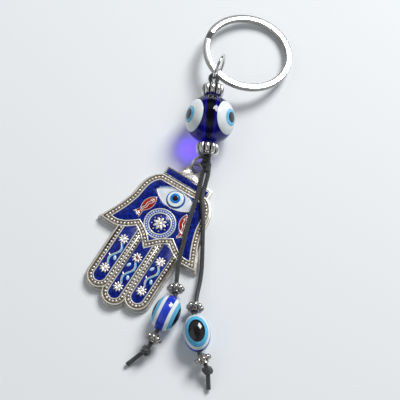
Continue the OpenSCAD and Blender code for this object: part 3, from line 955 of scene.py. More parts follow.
@dataclass
class OvalEyeBead:
    """Oval resin bead built up of flat layers, with an eye on two sides."""

    diameter: float = 8.5
    length: float = 11.8
    core: float = 1.3
    layer: float = 1.05
    bore: float = 0.92
    segments: int = 96
    core_steps: int = 10
    layer_steps: int = 6
    cap_steps: int = 14

    def section(self, depth: float) -> list[Vector]:
        """Outline of the bead at one depth.

        Args:
            depth: distance from the bead's middle along the eyes' axis.

        Returns:
            The points of the outline.
        """
        share = math.sqrt(max(1 - (2 * depth / self.diameter) ** 2, 0.0))
        wide, long = share * self.diameter / 2, share * self.length / 2
        return [
            Vector((depth, wide * math.cos(a), long * math.sin(a)))
            for a in (math.tau * k / self.segments for k in range(self.segments))
        ]

    def slab(self, low: float, high: float, steps: int) -> list[list[Vector]]:
        """Outlines of the layer between two depths.

        Args:
            low: the depth where it starts.
            high: the depth where it stops.
            steps: bands between them.

        Returns:
            The outlines, closer together towards the outside.
        """
        top = min(high, self.diameter / 2 * 0.9995)
        reach = [low + (top - low) * math.sin(math.pi / 2 * k / steps) for k in range(steps + 1)]
        return [self.section(depth) for depth in reach]

    def build(self, side: str, centre: Vector, axis: Vector, facing: EyeFacing) -> list[Piece]:
        """Makes the bead's four kinds of layer.

        Args:
            side: left or right, which names the pieces.
            centre: the bead's middle.
            axis: the direction of the cord.
            facing: where the eyes look.

        Returns:
            The pieces.
        """
        body = f"{side}_bead"
        turn = Matrix.Rotation(math.radians(90 - facing.value), 3, "Z")
        frame_axes = axes_along(axis) @ turn
        levels = [self.core + k * self.layer for k in range(3)] + [self.diameter / 2]
        core = Shape(frame_axes, centre)
        core.grid(self.slab(-levels[0], levels[0], self.core_steps))
        piece = core.make(f"{side}_bead_middle", BLUE_RESIN, 30)
        self.drill(piece, centre, axis)
        pieces = [place(piece, body, "royal_blue_resin", f"{side}_bead_core")]
        parts = (
            ("white_layers", "whites", WHITE_RESIN, "white_resin"),
            ("blue_layers", "blues", SKY_RESIN, "light_blue_resin"),
            ("dark_caps", "caps", BLACK_RESIN, "black_resin"),
        )
        for (name, node, finish, slot), low, high in zip(parts, levels, levels[1:]):
            layers = Shape(frame_axes, centre)
            outlines = self.slab(low, high, self.cap_steps if node == "caps" else self.layer_steps)
            for way in (-1, 1):
                layers.grid([[Vector((way * p.x, p.y, p.z)) for p in row] for row in outlines])
            piece = layers.make(f"{side}_bead_{name}", finish, 30)
            pieces.append(place(piece, body, slot, f"{side}_bead_{node}"))
        return pieces

    def drill(self, piece: Piece, centre: Vector, axis: Vector) -> None:
        """Cuts the bore through the bead's middle layer.

        Args:
            piece: the middle layer.
            centre: the bead's middle.
            axis: the direction of the cord.
        """
        drill = Shape(axes_along(axis), centre)
        drill.lathe([(self.bore, -self.length), (self.bore, self.length)], 40)
        cutter = drill.make("drill", BLUE_RESIN)
        cut = piece.modifiers.new("bore", "BOOLEAN")
        cut.operation = "DIFFERENCE"
        cut.object = cutter
        bpy.context.view_layer.update()
        graph = bpy.context.evaluated_depsgraph_get()
        mesh = bpy.data.meshes.new_from_object(piece.evaluated_get(graph))
        piece.modifiers.clear()
        piece.data = mesh
        bpy.data.objects.remove(cutter)


def overhand(radius: float, tube: float, steps: int = 96) -> list[Vector]:
    """Middle line of a tight overhand knot, as a closed path about Z.

    Args:
        radius: its outer radius.
        tube: radius of the cord.
        steps: points along it.

    Returns:
        The path.
    """
    reach = (radius - tube) / 3
    made = []
    for k in range(steps):
        t = math.tau * k / steps
        x = math.sin(t) + 2 * math.sin(2 * t)
        y = math.cos(t) - 2 * math.cos(2 * t)
        made.append(Vector((reach * x, reach * y, -0.95 * tube * math.sin(3 * t))))
    return made


@dataclass
class Tail:
    """One cord tail with its two flower spacers, oval bead and end knot."""

    side: str
    route: list[Triple]
    knot_at: Triple
    facing: EyeFacing
    cord: float = 1.4
    cut_share: float = 0.93
    knot: float = 3.6
    knot_tube_share: float = 0.46
    root_share: float = 0.45

    def path(self) -> list[Vector]:
        """Middle line of the cord, from the parting knot to its cut end.

        Returns:
            The points of the line.
        """
        points = [Vector(p) for p in self.route]
        root, _ = joint_line(f"{self.side}_tail_lift")
        first = root.lerp(points[0], self.root_share)
        return spline([first, *points], 5)

    def build(self) -> None:
        """Makes the cord, and then what is threaded on it."""
        path = self.path()
        strand = Shape()
        radii = [self.cord / 2] * len(path)
        radii[-1] *= self.cut_share
        strand.tube(path, radii, 20)
        piece = strand.make(f"{self.side}_cord", CORD, 60)
        place(piece, f"{self.side}_tail", "waxed_cord", f"{self.side}_tail_cord")
        for which in ("upper", "lower"):
            name = f"{self.side}_{which}_flower"
            at, axis = joint_line(f"{name}_spin")
            flower = FlowerSpacer().shape(at, axis).make(f"{name}_spacer", OXIDISED)
            place(flower, name, "dark_silver", name)
        at, axis = joint_line(f"{self.side}_bead_spin")
        OvalEyeBead().build(self.side, at, axis, self.facing)
        self.end_knot()

    def end_knot(self) -> Piece:
        """Makes the knot that stops the beads.

        Returns:
            The knot.
        """
        at = Vector(self.knot_at)
        near = min(range(1, len(self.route) - 1), key=lambda i: (Vector(self.route[i]) - at).length)
        axis = Vector(self.route[near + 1]) - Vector(self.route[near - 1])
        tube = self.cord * self.knot_tube_share
        knot = Shape(axes_along(axis), at)
        knot.tube(overhand(self.knot / 2, tube), tube, 16, closed=True)
        piece = knot.make(f"{self.side}_stop_knot", CORD, 60)
        return place(piece, f"{self.side}_tail", "waxed_cord", f"{self.side}_end_knot")


# ---------------------------------------------------------------- strand with the glass ball


@dataclass(frozen=True)
class EyeLayer:
    """One layer of glass in the ball's eyes, and how far its outline is from round."""

    name: str
    finish: Finish
    slot: str
    node: str
    width: float
    wobble: float


@dataclass
class Strand:
    """Folded cord with the glass ball between its two ribbed spacers."""

    spacer_d: float = 7.7
    spacer_len: float = 4.4
    ribs: int = 10
    bore: float = 1.38
    ball_d: float = 16.0
    pole: float = 2.2
    drill_ease: float = 0.25
    eye_turns: Triple = (-30, 90, 210)
    eye_layers: tuple[EyeLayer, ...] = (
        EyeLayer("ball_eye_white_glass", WHITE_GLASS, "white_glass", "ball_eye_whites", 11.0, 0.012),
        EyeLayer("ball_eye_blue_glass", SKY_GLASS, "light_blue_glass", "ball_eye_blues", 6.2, 0.02),
        EyeLayer("ball_eye_pupil_glass", INK_GLASS, "black_glass", "ball_eye_pupils", 3.9, 0.015),
    )
    proud: float = 0.15
    step: float = 0.05
    cord: float = 1.3
    knot_at: Triple = (14.7, 19.5, 4.6)
    knot: float = 3.8
    knot_foot_at: Triple = (15.1, 17.9, 4.4)

    def __post_init__(self) -> None:
        """Reads the strand's line from the ball's joint."""
        self.ball_at, self.axis = joint_line("glass_ball_spin")
        self.axes = axes_along(self.axis)
        self.ball_half = math.sqrt((self.ball_d / 2) ** 2 - self.pole**2)

    def spacer(self, name: str) -> None:
        """Makes a ribbed spacer, with deep grooves between rounded ribs, and shade painted dark into the
        grooves and round the bore.

        Args:
            name: its body's name.
        """
        centre, _ = joint_line(f"{name}_spin")
        half = self.spacer_len / 2
        outer = self.spacer_d / 2
        lip = self.bore + 0.55

        def ribbed(angle: float, radius: float, _: float) -> Pair:
            """Cuts the grooves at one place, and paints shade into them.

            Args:
                angle: the place's angle.
                radius: the radius without grooves.

            Returns:
                The radius with the grooves, and the painted shade.
            """
            # The lip round the bore gets a middling painted shade.
            if radius <= lip + 0.01:
                return radius, 0.35
            wave = abs(math.sin(angle * self.ribs / 2))
            rise = wave**0.55
            depth = 0.27 * (radius - lip) / (outer - lip) + 0.05
            return radius * (1 - depth * (1 - rise)), min(max(1.6 - wave / 0.42, 0.0), 1.0)

        profile = [(self.bore, -half), (lip, -half)]
        steps = 22
        for k in range(steps + 1):
            a = math.pi * (k / steps - 0.5)
            z = 0.93 * half * math.sin(a)
            profile.append((lip + (outer - lip) * max(math.cos(a), 0.0) ** 0.62, z))
        profile += [(lip, half), (self.bore, half)]
        shape = Shape(self.axes, centre)
        shape.lathe(profile, 24 * self.ribs, ribbed, loop=True)
        place(shape.make(f"{name}_melon", POLISHED, 60), name, "polished_silver", name)

    def ball(self) -> None:
        """Makes the drilled glass ball."""
        radius = self.ball_d / 2
        start = math.asin(self.ball_half / radius)
        steps = 72
        profile = []
        for k in range(steps + 1):
            a = start * (2 * k / steps - 1)
            profile.append((radius * math.cos(a), radius * math.sin(a)))
        ease = self.drill_ease
        profile += [
            (self.pole - 0.3, self.ball_half), (self.bore + ease, self.ball_half - 0.02),
            (self.bore + 0.05, self.ball_half - ease),
        ]
        profile += [(self.bore, self.ball_half * (1 - 2 * k / 12) * 0.94) for k in range(13)]
        profile += [
            (self.bore + 0.05, ease - self.ball_half), (self.bore + ease, 0.02 - self.ball_half),
            (self.pole - 0.3, -self.ball_half),
        ]
        shape = Shape(self.axes, self.ball_at)
        shape.lathe(profile, 128, loop=True)
        place(shape.make("cobalt_ball", COBALT_GLASS, 60), "glass_ball", "cobalt_glass", "glass_ball")

    def eye_layer(self, glass: EyeLayer, rise: float) -> None:
        """Makes one layer of the three eyes, as drops of glass pressed onto the ball.

        Args:
            glass: the layer.
            rise: its height above the ball.
        """
        layer = Shape()
        segments, rings = 72, 16
        sink = 1 - 0.25 / self.ball_d
        for number, angle in enumerate(self.eye_turns):
            a = math.radians(angle)
            out = self.axes @ Vector((math.cos(a), math.sin(a), 0))
            axes = axes_along(out, self.axis)
            rows = []
            for r in range(rings + 1):
                share = math.sin(math.pi / 2 * r / rings) if r else 0.004
                lift = rise * (1 - share**9) ** 0.5
                ring = []
                for k in range(segments):
                    t = math.tau * k / segments
                    wave = math.sin(2 * t + number) + 0.6 * math.sin(3 * t + 2.1 * number)
                    bend = share * (1 + glass.wobble * wave) * math.asin(glass.width / self.ball_d)
                    reach = self.ball_d / 2 - 0.02 + lift
                    out_by, along = math.sin(bend), math.cos(bend)
                    local = Vector((out_by * math.cos(t), out_by * math.sin(t), along))
                    ring.append(self.ball_at + axes @ (reach * local))
                rows.append(ring)
            for row in (rows[-1], rows[0]):
                rows.append([self.ball_at + (p - self.ball_at) * sink for p in row])
            layer.grid(rows)
        place(layer.make(glass.name, glass.finish, 70), "glass_ball", glass.slot, glass.node)

    def folded_cord(self) -> None:
        """Makes the cord that runs up through the beads, round the link and back."""
        loop_at, _ = joint_line("link_swing")
        side, half = self.axes.col[0], self.cord / 2
        foot = self.ball_at - self.axis * (self.ball_half + self.spacer_len)
        head = self.ball_at + self.axis * (self.ball_half + self.spacer_len)
        knot = Vector(self.knot_at)
        turn = self.cord / 2 + 0.56
        way = [knot - half * side, foot - 0.9 * self.axis - half * side, foot - half * side + 0.6 * self.axis]
        count = 10
        way += [foot.lerp(head, k / count) - half * side for k in range(1, count + 1)]
        for angle in (200, 165, 128, 90):
            a = math.radians(angle)
            way.append(loop_at + turn * (math.cos(a) * side + math.sin(a) * self.axis))
        back = [p - 2 * (p - self.ball_at).dot(side) * side for p in reversed(way[:-1])]
        shape = Shape()
        shape.tube(spline([*way, *back], 5), half, 18)
        place(shape.make("folded_cord", CORD, 60), "cord", "waxed_cord", "core_cord", "link_loop")

    def parting_knot(self) -> None:
        """Makes the overhand knot in which the two strands part, and the turn that they leave it by."""
        tube = 0.64
        shape = Shape(axes_along(Vector((0.1, 0.95, 0.5))), Vector(self.knot_at))
        shape.tube(overhand(self.knot / 2, tube), tube, 16, closed=True)
        foot = axes_along(Vector((0.05, 0.98, 0.12)))
        centre = shape.place.transposed() @ (Vector(self.knot_foot_at) - Vector(self.knot_at))
        turn = shape.place.transposed() @ foot
        for shift in (-0.42, 0.42):
            ring = arc(Vector((0, 0, shift)), 0.62, 0, 345, 23)
            shape.tube([centre + turn @ p for p in ring], 0.6, 14, closed=True)
        shape.dome(Vector((0, 0, 0)), Vector((1.0, 1.0, 0.9)))
        place(shape.make("parting_knot", CORD, 60), "cord", "waxed_cord", "center_knot")

    def build(self) -> None:
        """Makes everything on the strand."""
        self.spacer("top_spacer")
        self.spacer("bottom_spacer")
        self.ball()
        for k, glass in enumerate(self.eye_layers):
            self.eye_layer(glass, self.proud + k * self.step)
        self.folded_cord()
        self.parting_knot()


# ---------------------------------------------------------------- key ring, link and jump ring


@dataclass
class Rings:
    """Split key ring, link and the bail's jump ring."""

    ring_d: float = 30.0
    band: float = 2.1
    turn: float = 1.0
    end_at: float = 157.0
    jog: float = 8.0
    link_in_d: float = 7.5
    link_wire: float = 1.0
    link_cut_at: float = 140.0
    link_sweep: float = 357.4
    jump_d: float = 5.4
    jump_wire: float = 1.0
    jump_cut_at: float = 20.0
    jump_sweep: float = 357.0
    jump_lean: float = 45.0
    jump_az: float = 25.0

    def key_ring(self) -> None:
        """Makes the two-turn split ring: flat wire that steps from its upper turn to its lower one, with
        shade painted along its side walls and at its ends.
        """
        mount = next(m for m in frame["record"]["mounts"] if m["name"] == "key_ring_loop")
        centre, normal = Vector(mount["pos_m"]) / MM, Vector(mount["axis"]).normalized()
        axes = UP.rotation_difference(normal).to_matrix() @ Matrix.Rotation(math.radians(self.end_at), 3, "Z")
        mid = self.ring_d / 2 - self.band / 2
        wide, high, corner = self.band / 2, self.turn / 2 - 0.03, 0.3
        section = []
        for sx, sy, first in ((1, 1, 0), (-1, 1, 90), (-1, -1, 180), (1, -1, 270)):
            for k in range(6):
                a = math.radians(first + 90 * k / 5)
                x = sx * (wide - corner) + corner * math.cos(a)
                y = sy * (high - corner) + corner * math.sin(a)
                section.append((x, y))
        # Painted shade along the band's two side walls, for its dark edge lines.
        edges = [0.6 if abs(x) > wide - 0.6 * corner else 0.0 for x, _ in section]
        rows, along = [], []
        steps = 340
        for k in range(steps + 1):
            angle = self.jog + (720 - 2 * self.jog) * k / steps
            drop = min(max((angle - (360 - self.jog)) / (2 * self.jog), 0.0), 1.0)
            z = self.turn / 2 - self.turn * (drop * drop * (3 - 2 * drop))
            a = math.radians(angle)
            out = Vector((math.cos(a), math.sin(a), 0))
            rows.append([(mid + x) * out + Vector((0, 0, y + z)) for x, y in section])
            along.append(mid * a)
        shape = Shape(axes, centre)
        # The first and last rows get full painted shade, for the dark gap at the wire's cut ends.
        cut = [1.0] * len(section)
        shape.grid(rows, [cut, *[edges] * (steps - 1), cut], along=along)
        place(shape.make("split_ring", NICKEL, 50), "key_ring", "bright_nickel", "key_ring")

    def link(self) -> None:
        """Makes the link's round wire, with its cut."""
        pivot, _ = joint_line("link_swing")
        low, high = (Vector(c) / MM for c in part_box("link_ring"))
        centre = (low + high) / 2
        run = centre - pivot
        run.z = 0
        axes = axes_along(run.cross(UP))
        radius = (self.link_in_d + self.link_wire) / 2
        shape = Shape(axes, centre)
        path = arc(Vector((0, 0, 0)), radius, self.link_cut_at, self.link_cut_at + self.link_sweep, 96)
        shape.tube(path, self.link_wire / 2, 20)
        place(shape.make("link_wire", NICKEL, 40), "link", "bright_nickel", "link_ring")

    def jump_ring(self) -> None:
        """Makes the jump ring that joins the bail to the knot."""
        low, high = (Vector(c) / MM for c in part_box("bail_ring"))
        turn = Matrix.Rotation(math.radians(self.jump_az), 3, "Z")
        shape = Shape(turn @ Matrix.Rotation(math.radians(self.jump_lean), 3, "X"), (low + high) / 2)
        cut_at = self.jump_cut_at
        path = arc(Vector((0, 0, 0)), self.jump_d / 2, cut_at, cut_at + self.jump_sweep, 80)
        shape.tube(path, self.jump_wire / 2, 20)
        place(shape.make("jump_ring", NICKEL, 40), "cord", "bright_nickel", "bail_ring")

    def build(self) -> None:
        """Makes the three rings."""
        self.key_ring()
        self.link()
        self.jump_ring()


# ---------------------------------------------------------------- hand pendant


@dataclass
class HandPendant:
    """Cast and enamelled hand: a palm, three fingers, an eye, a medallion and two fish."""

    lean: float = 31.7
    top: float = 2.6
    channel: float = 2.2
    enamel: float = 2.5
    pitch: float = 7.0
    border: float = 2.1
    rim: float = 0.35
    bead: float = 0.44
    bead_pitch: float = 1.12
    side_finger_y: float = -24.1
    middle_finger_y: float = -26.5
    pocket_r: float = 2.0
    medallion_d: float = 10.4
    middle_d: float = 7.6
    cabochon_d: float = 6.2
    eye_at: Pair = (0.0, 9.5)
    eye_half: Pair = (7.0, 3.1)
    fish_nose: Pair = (5.7, 6.9)
    fish_lean: float = 18.0
    fish_len: float = 6.4
    palm_side: tuple[Pair, ...] = (
        (8.2, 15), (9.8, 13.9), (11.2, 12), (12.1, 9.8), (12.5, 7.3),
        (12.8, 4.6), (13.5, 2.1), (14.6, -1), (16, -4), (17.6, -7.5),
    )
    palm_thumb: tuple[Pair, ...] = ((12.4, -7.8), (10.2, -7.1), (8.2, -6.1), (6.1, -4.5))
    palm_arch: tuple[Pair, ...] = ((4.2, -5.6), (2.5, -7.1), (0, -9.8))
    flower_spots: tuple[tuple[int, float], ...] = (
        (-1, -10.4), (-1, -21.4), (0, -13.4), (0, -24.4), (1, -10.8), (1, -21.8),
    )
    red_flower: tuple[int, float] = (0, -13.4)
    vine_runs: tuple[tuple[int, float, float], ...] = (
        (-1, -19.9, -11.9), (0, -22.9, -14.9), (1, -20.3, -12.3),
    )
    drop_spots: tuple[tuple[int, int, float], ...] = (
        (-1, 1, -17.2), (0, -1, -16.8), (0, 1, -20.6), (1, -1, -14.2), (1, 1, -18),
    )
    bail_hole_y: float = 21.9
    bail_rim_r: float = 1.95

    def __post_init__(self) -> None:
        """Turns the pendant's axes into the model's."""
        self.axes = Matrix.Rotation(math.radians(-self.lean), 3, "Z")

    def shape(self) -> Shape:
        """Starts a shape in the pendant's axes."""
        return Shape(self.axes)

    def dress(self, piece: Piece, slot: str, *nodes: str) -> Piece:
        """Rides a piece on the hand."""
        return place(piece, "hand", slot, *nodes)

    def palm_line(self, inset: float, height: float) -> list[Vector]:
        """Outline of the palm moved inwards.

        Args:
            inset: how far inwards.
            height: the height at which it lies.

        Returns:
            A closed path, from the header's right end clockwise.
        """
        half = [Vector((x, y, height)) for x, y in self.palm_side + self.palm_thumb + self.palm_arch]
        whole = half + [Vector((-p.x, p.y, height)) for p in reversed(half[:-1])]
        n = len(whole)
        moved = []
        for i, p in enumerate(whole):
            a = (p - whole[i - 1]).normalized()
            b = (whole[(i + 1) % n] - p).normalized()
            m, k = Vector((a.y, -a.x, 0)), Vector((b.y, -b.x, 0))
            moved.append(p + inset * (m + k) / (1 + m.dot(k)))
        tip = len(self.palm_side) - 1
        arch = tip + len(self.palm_thumb)
        foot = arch + len(self.palm_arch)
        right = spline(moved[: tip + 1], 6)[:-1]
        right += spline(moved[tip : arch + 1], 5)[:-1]
        right += spline(moved[arch : foot + 1], 5)
        return right + [Vector((-p.x, p.y, height)) for p in reversed(right[:-1])]

    def finger_line(self, i: int, offset: float, height: float, top: float) -> list[Vector]:
        """U-shaped line round a finger.

        Args:
            i: -1, 0 or 1, from left to right.
            offset: distance from the finger's middle line.
            height: the height at which it lies.
            top: where its two ends lie.

        Returns:
            The path.
        """
        x = i * self.pitch
        y = self.side_finger_y if i else self.middle_finger_y
        left = [Vector((x - offset, top + (y - top) * k / 24, height)) for k in range(24)]
        right = [Vector((x + offset, y + (top - y) * k / 24, height)) for k in range(1, 25)]
        return left + arc(Vector((x, y, height)), offset, 180, 360, 24) + right

    def inside_palm(self, point: Vector, inset: float) -> bool:
        """Tells whether a point lies inside the palm's outline.

        Args:
            point: the point, in the pendant's axes.
            inset: how far the outline is moved inwards.

        Returns:
            True if it does.
        """
        path = self.palm_line(inset, 0)
        hit = False
        for a, b in zip(path, path[1:] + path[:1]):
            if (a.y > point.y) != (b.y > point.y):
                if point.x < a.x + (point.y - a.y) / (b.y - a.y) * (b.x - a.x):
                    hit = not hit
        return hit

    def castings(self) -> None:
        """Makes the cast metal: plate, header, border and cell walls."""
        parts = (
            ("hand_casting", "hand_plate", CAST, 0.16),
            ("header_bail", "header_frame", OXIDISED, 0.13),
            ("hand_border", "border_channel", CHANNEL, 0.05),
            ("border_rims", "border_rim_wires", BRIGHT_CAST, 0.11),
            ("palm_cells", "cell_walls", BRIGHT_CAST, 0.09),
        )
        for node, name, finish, width in parts:
            self.dress(softened(node, name, finish, width), "antique_silver")

    def enamels(self) -> None:
        """Makes the flat enamels."""
        parts = (
            ("header_enamel", NAVY, "cobalt_enamel"), ("palm_enamel", NAVY, "cobalt_enamel"),
            ("finger_enamel_left", NAVY, "cobalt_enamel"), ("finger_enamel_middle", NAVY, "cobalt_enamel"),
            ("finger_enamel_right", NAVY, "cobalt_enamel"), ("eye_enamel", WHITE_ENAMEL, "white_enamel"),
            ("red_fish_left", RED_ENAMEL, "red_enamel"), ("red_fish_right", RED_ENAMEL, "red_enamel"),
            ("medallion_band", ROYAL, "blue_enamel"), ("medallion_disc", NAVY, "cobalt_enamel"),
        )
        for node, finish, slot in parts:
            self.dress(softened(node, f"{node}_fill", finish, 0.1), slot)

    def milgrain(self) -> None:
        """Sets the rows of small beads in the border's channel, with shade painted on their lower halves."""
        made = self.shape()
        z = self.channel + 0.1
        spots = []
        outline = self.palm_line(self.border / 2, z)
        spots += spaced(outline + outline[:1], self.bead_pitch)[:-1]
        for i in (-1, 0, 1):
            offset = self.pocket_r + 0.42 * self.border
            for spot in spaced(self.finger_line(i, offset, z, -3.0), self.bead_pitch):
                if not self.inside_palm(spot, -0.25):
                    spots.append(spot)
        for k, spot in enumerate(spots):
            if Vector((spot.x, spot.y)).length < self.medallion_d / 2 + 0.2:
                continue
            size = self.bead * (1 + 0.07 * math.sin(2.3 * k))
            # Each bead's lower half gets painted shade.
            made.dome(spot, Vector((size, size, self.bead)), turn=37.0 * k, segments=12, rings=7, shade=0.9)
        self.dress(made.make("milgrain_beads", BRIGHT_CAST), "antique_silver")

    def eye(self) -> None:
        """Makes the glass eye in four layers.

        Each layer has its share of the width, its foot, its top and its shift.
        """
        x, y = self.eye_at
        layers = (
            ("glass", "glass", ROYAL, "cobalt_glass", 1.0, 1.7, 3.0, (0, 0)),
            ("white_glass", "white", WHITE_GLASS, "white_glass", 0.84, 2.95, 3.25, (-0.05, 0.05)),
            ("iris_glass", "iris", IRIS_GLASS, "light_blue_glass", 0.54, 3.2, 3.38, (-0.2, 0.15)),
            ("pupil_glass", "pupil", INK_GLASS, "black_glass", 0.3, 3.33, 3.48, (-0.2, 0.15)),
        )
        steps = 14
        for name, node, finish, slot, share, low, high, shift in layers:
            radius = share * (self.cabochon_d / 2)
            profile = [(radius * 0.99, low)]
            for k in range(steps + 1):
                a = math.pi / 2 * k / steps
                drop = (high - low) * 0.55 * (1 - math.sin(a) ** 1.4)
                profile.append((radius * max(math.cos(a), 0.003), high - drop))
            made = Shape(self.axes, self.axes @ Vector((x + shift[0], y + shift[1], 0)))
            made.lathe(profile, 64)
            self.dress(made.make(f"eye_{name}", finish, 60), slot, f"cabochon_{node}")

    def lashes(self) -> None:
        """Makes the short lashes above the eye."""
        x, y = self.eye_at
        z = self.enamel + 0.02
        lashes = self.shape()
        count = 34
        for k in range(count):
            t = -0.92 + 1.84 * k / (count - 1)
            foot_x = x + t * self.eye_half[0]
            foot_y = y + self.eye_half[1] * (1 - t * t) + 0.2
            reach = 0.8 - 0.15 * (1 - abs(t))
            lean = 0.5 * t + 0.16
            tip = Vector((foot_x + reach * math.sin(lean), foot_y + reach * math.cos(lean), z))
            foot = Vector((foot_x, foot_y, z))
            if self.inside_palm(tip, self.border - 0.15):
                lashes.tube([foot, foot.lerp(tip, 0.5), tip], [0.1, 0.09, 0.05], 8, flat=0.7)
        self.dress(lashes.make("eye_lashes", PALE_ENAMEL), "pale_enamel")

    def fish_lines(self) -> None:
        """Draws two wavy lines, gill strokes and an eye on each fish."""
        made = self.shape()
        z = self.enamel + 0.02
        for s in (-1, 1):
            turn = Matrix.Rotation(math.radians(s * self.fish_lean), 3, "Z")
            nose = Vector((s * self.fish_nose[0], self.fish_nose[1], z))
            for x in (-0.42, 0.42):
                line = []
                for k in range(25):
                    t = k / 24
                    across = x * (1 - 0.45 * t) + 0.16 * math.sin(4.5 * math.pi * t)
                    line.append(nose + turn @ Vector((across, -1.5 - 5.2 * t, 0)))
                made.tube(line, 0.15, 8, flat=0.8)
            for k in range(3):
                y = -0.75 - 0.42 * k
                half = 0.3 + 0.22 * k
                line = [nose + turn @ Vector((half * q, y - 0.16 * q * q, 0)) for q in (-1, -0.5, 0, 0.5, 1)]
                made.tube(line, 0.09, 8, flat=0.8)
            for k in range(3):
                y = -self.fish_len - 0.6 - 0.35 * k
                spread = 0.45 + 0.3 * k
                line = [nose + turn @ Vector((spread * q, y - 0.18 * abs(q), 0)) for q in (-1, 0, 1)]
                made.tube(line, 0.08, 8, flat=0.8)
        self.dress(made.make("fish_lines", BRIGHT_CAST), "antique_silver")

    def medallion(self) -> None:
        """Makes the medallion's beads and its rosette."""
        beads = self.shape()
        ring = 0.25 * (self.medallion_d + self.middle_d) - self.rim / 2
        count = 34
        for k in range(count):
            a = math.tau * k / count
            at = Vector((ring * math.cos(a), ring * math.sin(a), self.enamel))
            beads.dome(at, Vector((0.28, 0.28, 0.26)), segments=12, rings=7)
        self.dress(beads.make("medallion_beads", WHITE_GLASS), "white_glass")
        rosette = softened("medallion_rosette", "rosette", BRIGHT_CAST, 0.08)
        self.dress(rosette, "antique_silver")
        dots = self.shape()
        for k in range(8):
            a = math.tau * (k + 0.5) / 8
            at = Vector((2.55 * math.cos(a), 2.55 * math.sin(a), self.enamel))
            dots.dome(at, Vector((0.24, 0.24, 0.2)), rings=6)
        dots.dome(Vector((0, 0, self.enamel + 0.2)), Vector((0.5, 0.5, 0.25)), segments=20, rings=8)
        self.dress(dots.make("rosette_dots", BRIGHT_CAST), "antique_silver")

    def flowers(self) -> None:
        """Makes the finger flowers, each a ring of petals round a raised middle."""
        metal, hearts = self.shape(), self.shape()
        z = self.enamel + 0.05
        petals = 9
        for i, y in self.flower_spots:
            centre = Vector((i * self.pitch, y, z))
            for k in range(petals):
                a = 360 * k / petals + 11 * i
                out = Vector((math.cos(math.radians(a)), math.sin(math.radians(a)), 0))
                metal.dome(centre + 1.15 * out, Vector((0.62, 0.33, 0.3)), turn=a, segments=12, rings=6)
            metal.tube(arc(centre + Vector((0, 0, 0.1)), 0.66, 0, 345, 23), 0.17, 8, closed=True)
            middle = hearts if (i, y) == self.red_flower else metal
            middle.dome(centre + Vector((0, 0, 0.04)), Vector((0.5, 0.5, 0.3)), segments=16, rings=8)
        self.dress(metal.make("flower_petals", BRIGHT_CAST), "antique_silver", "finger_flowers")
        self.dress(hearts.make("flower_hearts", CORAL), "red_enamel")

    def vines(self) -> None:
        """Makes the S-shaped stems between the flowers, with small leaves."""
        stems, swirls = self.shape(), self.shape()
        z = self.enamel + 0.03
        swing, steps = 0.95, 36
        taper = [0.14, 0.14, 0.13, 0.13, 0.12, 0.12, 0.1, 0.08, 0.05]
        for i, low, high in self.vine_runs:
            x = i * self.pitch + 0.1
            path, beside = [], []
            for k in range(steps + 1):
                t = k / steps
                at = Vector((x - swing * math.sin(math.tau * t), low + (high - low) * t, z))
                path.append(at)
                beside.append(at + Vector((0.34, 0.2, -0.04)))
            swell = [math.sin(math.pi * k / steps) for k in range(steps + 1)]
            stems.tube(path, [0.13 + 0.08 * share for share in swell], 10, flat=0.9)
            swirls.tube(beside, [0.1 + 0.22 * share for share in swell], 12, flat=0.45)
            for t, way in ((0.36, -1), (0.64, 1)):
                foot = path[round(t * steps)]
                tip = foot + Vector((0.75 * way, 0.6, 0))
                curl = foot.lerp(tip, 0.5) + Vector((0.22 * way, -0.12, 0))
                stems.tube(spline([foot, curl, tip], 4), taper, 8)
        self.dress(stems.make("stems", BRIGHT_CAST), "antique_silver", "finger_vines")
        self.dress(swirls.make("stem_swirls", SKY_GLASS), "light_blue_glass")

    def drops(self) -> None:
        """Makes the pale drops beside the stems."""
        made = self.shape()
        for i, side, y in self.drop_spots:
            at = Vector((i * self.pitch + side, y + 0.15, self.enamel + 0.05))
            made.dome(at, Vector((0.5, 0.82, 0.24)), turn=25.0 * side, segments=20, rings=8)
        self.dress(made.make("pale_drops", PALE_ENAMEL), "pale_enamel", "enamel_drops")

    def bail_rim(self) -> None:
        """Makes the raised rim round the bail's hole."""
        made = self.shape()
        path = arc(Vector((0, self.bail_hole_y, self.top - 0.02)), self.bail_rim_r, 0, 352, 44)
        made.tube(path, 0.2, 10, closed=True)
        self.dress(made.make("bail_rim", BRIGHT_CAST), "antique_silver")

    def build(self) -> None:
        """Makes the whole pendant."""
        self.castings()
        self.enamels()
        self.milgrain()
        self.eye()
        self.lashes()
        self.fish_lines()
        self.medallion()
        self.flowers()
        self.vines()
        self.drops()
        self.bail_rim()


# ---------------------------------------------------------------- the whole charm

LEFT_ROUTE = [
    (13.7, 16.9, 4.2), (12.9, 13.2, 3.6), (12, 9.4, 3.5), (10.9, 5.8, 3.5), (9.8, 2.2, 3.5),
    (8.7, -2, 3.5), (7.7, -6.2, 3.5), (6.8, -10.2, 3.5), (6.1, -13.8, 3.45), (5.7, -17, 3.4),
    (5.4, -20.2, 3.4), (5.1, -23.6, 4.1), (5, -24.4, 4.35), (3.5, -27.5, 4.35), (2, -30.6, 4.35),
    (0.5, -33.7, 4.35), (-1, -36.8, 4.35), (-2.5, -39.9, 4.35), (-3.9, -41.5, 3.7),
    (-5.7, -42.5, 2.7), (-7.7, -43.8, 1.5), (-9.7, -45.2, 0.9),
]
RIGHT_ROUTE = [
    (15.4, 16.4, 4.1), (14.4, 12.4, 3.5), (13.5, 9, 3.5), (13.6, 5, 3.5), (13.8, 1, 3.5),
    (13.7, -3, 3.4), (13.6, -7, 2.9), (13.5, -11, 2.3), (13.3, -15, 1.9), (12.8, -19, 1.9),
    (12, -22.8, 2.4), (11.5, -26.2, 3.1), (11, -29.6, 4.1), (11, -30.2, 4.35), (11.4, -33.2, 4.35),
    (11.8, -36.2, 4.35), (12.2, -39.2, 4.35), (12.6, -42.2, 4.35), (12.9, -42.8, 4.3),
    (14.4, -45.8, 3.9), (15.1, -47.6, 3.3), (15.3, -50.2, 1.9), (15.4, -53, 0.9),
]


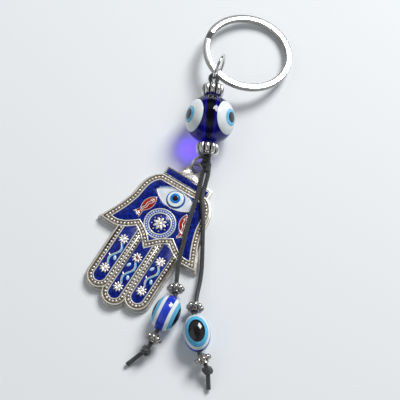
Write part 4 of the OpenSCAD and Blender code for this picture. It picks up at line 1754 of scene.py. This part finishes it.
def main() -> None:
    """Builds the studio and the charm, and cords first."""
    logging.basicConfig(level=logging.INFO, format="%(message)s")
    Studio().build()
    Tail("left", LEFT_ROUTE, (-3.9, -41.5, 3.7), EyeFacing.SIDE).build()
    Tail("right", RIGHT_ROUTE, (15.1, -47.6, 3.3), EyeFacing.UP).build()
    Strand().build()
    Rings().build()
    HandPendant().build()


if __name__ == "__main__":
    main()
